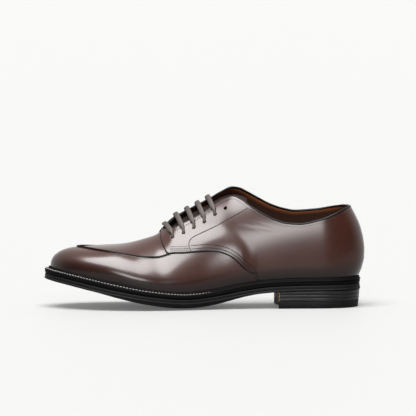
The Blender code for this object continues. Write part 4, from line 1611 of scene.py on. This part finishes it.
# %% Stitches of the upper
dark_thread, thread_shader, thread_place = new_finish("dark_thread", Specular_IOR_Level=0.3)
thread_shader.inputs["Base Color"].default_value = (0.0035, 0.0022, 0.0020, 1)
thread_twist = thread_place.noise(2500.0, 2.0)
feed(thread_shader, Roughness=thread_twist * 0.2 + 0.35, Normal=thread_twist.bump(0.5, 0.00008))
FACING_SEAM = table(
    ("t", "s", "z"),
    (0, 108.4, 95.9),
    (1, 123.9, 87.5),
    (2, 139.2, 78.9),
    (3, 154.6, 71.4),
    (4, 160.6, 68.4),
    (5, 164.0, 65.2),
    (6, 165.4, 61.3),
    (7, 164.6, 57.7),
    (8, 163.7, 54.2),
)
STITCH_PITCH = 2.1
STITCH_LENGTH = 1.5
STITCH_THICK = 0.24
ROW_START = 163.0
LOWER_ROWS = ((106.5, 2.7), (104.5, 5.7))
TACK_ROWS = ((1.7, 0.0), (3.4, 1.1), (5.4, 0.0))
facing_t = np.linspace(0, 8, 120)
stitches, grooves = [], []
for side in (-1, 1):
    lines = [down_to_welt(*seam_offset(ROW_START, end_s, away)) for end_s, away in LOWER_ROWS]
    lines.append((read(FACING_SEAM, "s", facing_t), read(FACING_SEAM, "z", facing_t)))
    for line_s, line_z in lines:
        path, facing = path_on_last(line_s, line_z, side)
        over_seam = line_z - seam_height(line_s)
        lift = quarter_thickness(np.minimum(over_seam, TAB_CORNER - line_s)) * quarter_start(line_s)
        raised = path + facing * lift[:, None]
        centre, ahead, normal = even_steps(raised, facing, STITCH_PITCH)
        stitches.append(threads(centre, ahead, normal, STITCH_LENGTH, STITCH_THICK))
        grooves.append((raised, facing))
    tack_s = np.linspace(183.5, 165.5, 60)
    for above, slant in TACK_ROWS:
        path, facing = path_on_last(tack_s, seam_height(tack_s) + above, side)
        raised = path + facing * QUARTER_STEP
        pitch = 1.25 if slant else 1.7
        centre, ahead, normal = even_steps(raised, facing, pitch)
        stitches.append(threads(centre, ahead, normal, 2.3 if slant else 1.3, STITCH_THICK, slant))
stitch_piece("upper_stitches", stitches, dark_thread)

# %% Painted groove shade under the rows
# Black strips along each stitch row paint the shade of the groove the thread sinks into.
groove_points, groove_faces, groove_start = [], [], 0
for path, facing in grooves:
    points, faces = capped_tube(oval_along(path, facing, 0.34, 0.16, around=8), groove_start)
    groove_points.append(points)
    groove_faces += faces
    groove_start += len(points)
groove_shade_lines = piece("groove_shade_lines", np.concatenate(groove_points), groove_faces, edge_leather,
                   {"burnish_and_shade": np.ones(groove_start)}, merge=0.0000001)
report(groove_shade_lines)

# %% Stitches round the topline
TOP_ROW_BELOW = 2.7
top_sets = []
for side in (-1, 1):
    line_s = np.concatenate([np.linspace(8, 40, 60), np.linspace(40.5, 181, 300)])
    height = read(EDGE, side_name(side), line_s)
    slope = np.gradient(height, line_s)
    path, facing = path_on_last(line_s, height - TOP_ROW_BELOW * np.sqrt(1 + slope**2), side)
    lift = quarter_thickness(TAB_CORNER - line_s) + 0.05
    centre, ahead, normal = even_steps(path + facing * lift[:, None], facing, 2.0)
    top_sets.append(threads(centre, ahead, normal, 1.35, 0.2))
stitch_piece("topline_stitches", top_sets, dark_thread)

# %% Welt thread
WELT_STITCHES_END = 62
welt_thread, thread_shader, thread_place = new_finish("welt_thread", Roughness=0.5, Specular_IOR_Level=0.4)
strand = thread_place.noise(1800.0, 2.0)
strand_colour = strand.between(0.3, 0.7).mix((0.06, 0.057, 0.054, 1), (0.16, 0.152, 0.145, 1))
feed(thread_shader, Base_Color=strand_colour, Normal=strand.bump(0.5, 0.0001))
welt_line = outline_loop(0, 1.5, over("welt", 0.0))
welt_line = np.concatenate([welt_line, welt_line[:1]])
upward_facing = np.broadcast_to(np.array([0.0, 0.0, 1.0]), welt_line.shape)
steps = even_steps(welt_line, upward_facing, 3.1)
in_front = steps[0][:, 0] > WELT_STITCHES_END
welt_set = threads(*(rows_of[in_front] for rows_of in steps), 2.5, 0.42)
stitch_piece("welt_stitches", [welt_set], welt_thread)

# %% [markdown]
# ## Floor and sky
# The shoe stands on a white floor that also glows a little, so floor and background are one. There
# are no lamps: the sky is drawn by direction. A round patch high up draws the long soft highlights
# on the leather, a lower one in front lights the quarter, and a white backdrop behind lights the
# apron and the rims. The rest of the room is dark, which keeps the leather's sides deep.

# %% Floor
FLOOR_HALF = 40.0
floor_mesh = bpy.data.meshes.new("floor")
corners = [(x * FLOOR_HALF, y * FLOOR_HALF, 0) for x, y in ((-1, -1), (1, -1), (1, 1), (-1, 1))]
floor_mesh.from_pydata(corners, [], [(0, 1, 2, 3)])
floor = bpy.data.objects.new("floor", floor_mesh)
bpy.context.scene.collection.objects.link(floor)
floor_paint, floor_shader, _ = new_finish("floor_paint", Roughness=0.6, Specular_IOR_Level=0.2)
floor_shader.inputs["Base Color"].default_value = (0.145, 0.145, 0.143, 1)
floor_shader.inputs["Emission Color"].default_value = (1.0, 1.0, 0.99, 1)
floor_shader.inputs["Emission Strength"].default_value = 0.12
floor_mesh.materials.append(floor_paint)
print("floor: %.0f m wide" % (2 * FLOOR_HALF))

# %% Sky
TOP_LIGHT = 24.0
TOP_AXIS = (-0.106, -0.29, 0.951)
TOP_EDGE = (0.88, 0.92)
FRONT_LIGHT = 27.0
FRONT_LEFT = (-30.0, -4.0)
FRONT_RIGHT = (2.0, 16.0)
FRONT_LOW = (9.0, 18.0)
FRONT_HIGH = (18.0, 31.0)
FRONT_FALL = 0.96
BACKDROP_LIGHT = 0.95
ROOM_LIGHT = 0.05
DEGREE = math.pi / 180

world_sky = bpy.data.worlds.new("sky")
world_sky.use_nodes = True
bpy.context.scene.world = world_sky
sky = world_sky.node_tree.nodes["Background"]
direction = Wire(world_sky.node_tree, None).node("ShaderNodeTexCoord", {}, output=0)
axis_parts = [direction.node("ShaderNodeSeparateXYZ", {"Vector": direction}, output=i) for i in range(3)]
east, north, upward = axis_parts
turned = east.math("ARCTAN2", east, north * -1.0) / DEGREE
height = upward.math("ARCSINE", upward) / DEGREE
toward_top = direction.node(
    "ShaderNodeVectorMath", {0: direction, 1: TOP_AXIS}, output=1, operation="DOT_PRODUCT"
)
top_box = toward_top.between(*TOP_EDGE)
front_box = turned.between(*FRONT_LEFT) * (1 - turned.between(*FRONT_RIGHT))
front_box = front_box * height.between(*FRONT_LOW) * (1 - height.between(*FRONT_HIGH) * FRONT_FALL)
behind = north.between(-0.35, 0.4)
backdrop = behind.math("MAXIMUM", behind, upward.between(0.5, 0.9))
glow = top_box * TOP_LIGHT + front_box * FRONT_LIGHT * (1 - top_box) + backdrop * BACKDROP_LIGHT + ROOM_LIGHT
sky.inputs["Color"].default_value = (1, 1, 1, 1)
world_sky.node_tree.links.new(glow.socket, sky.inputs["Strength"])
bpy.context.scene.view_settings.view_transform = "Standard"
print("light from above: %.0f times the white floor" % TOP_LIGHT)
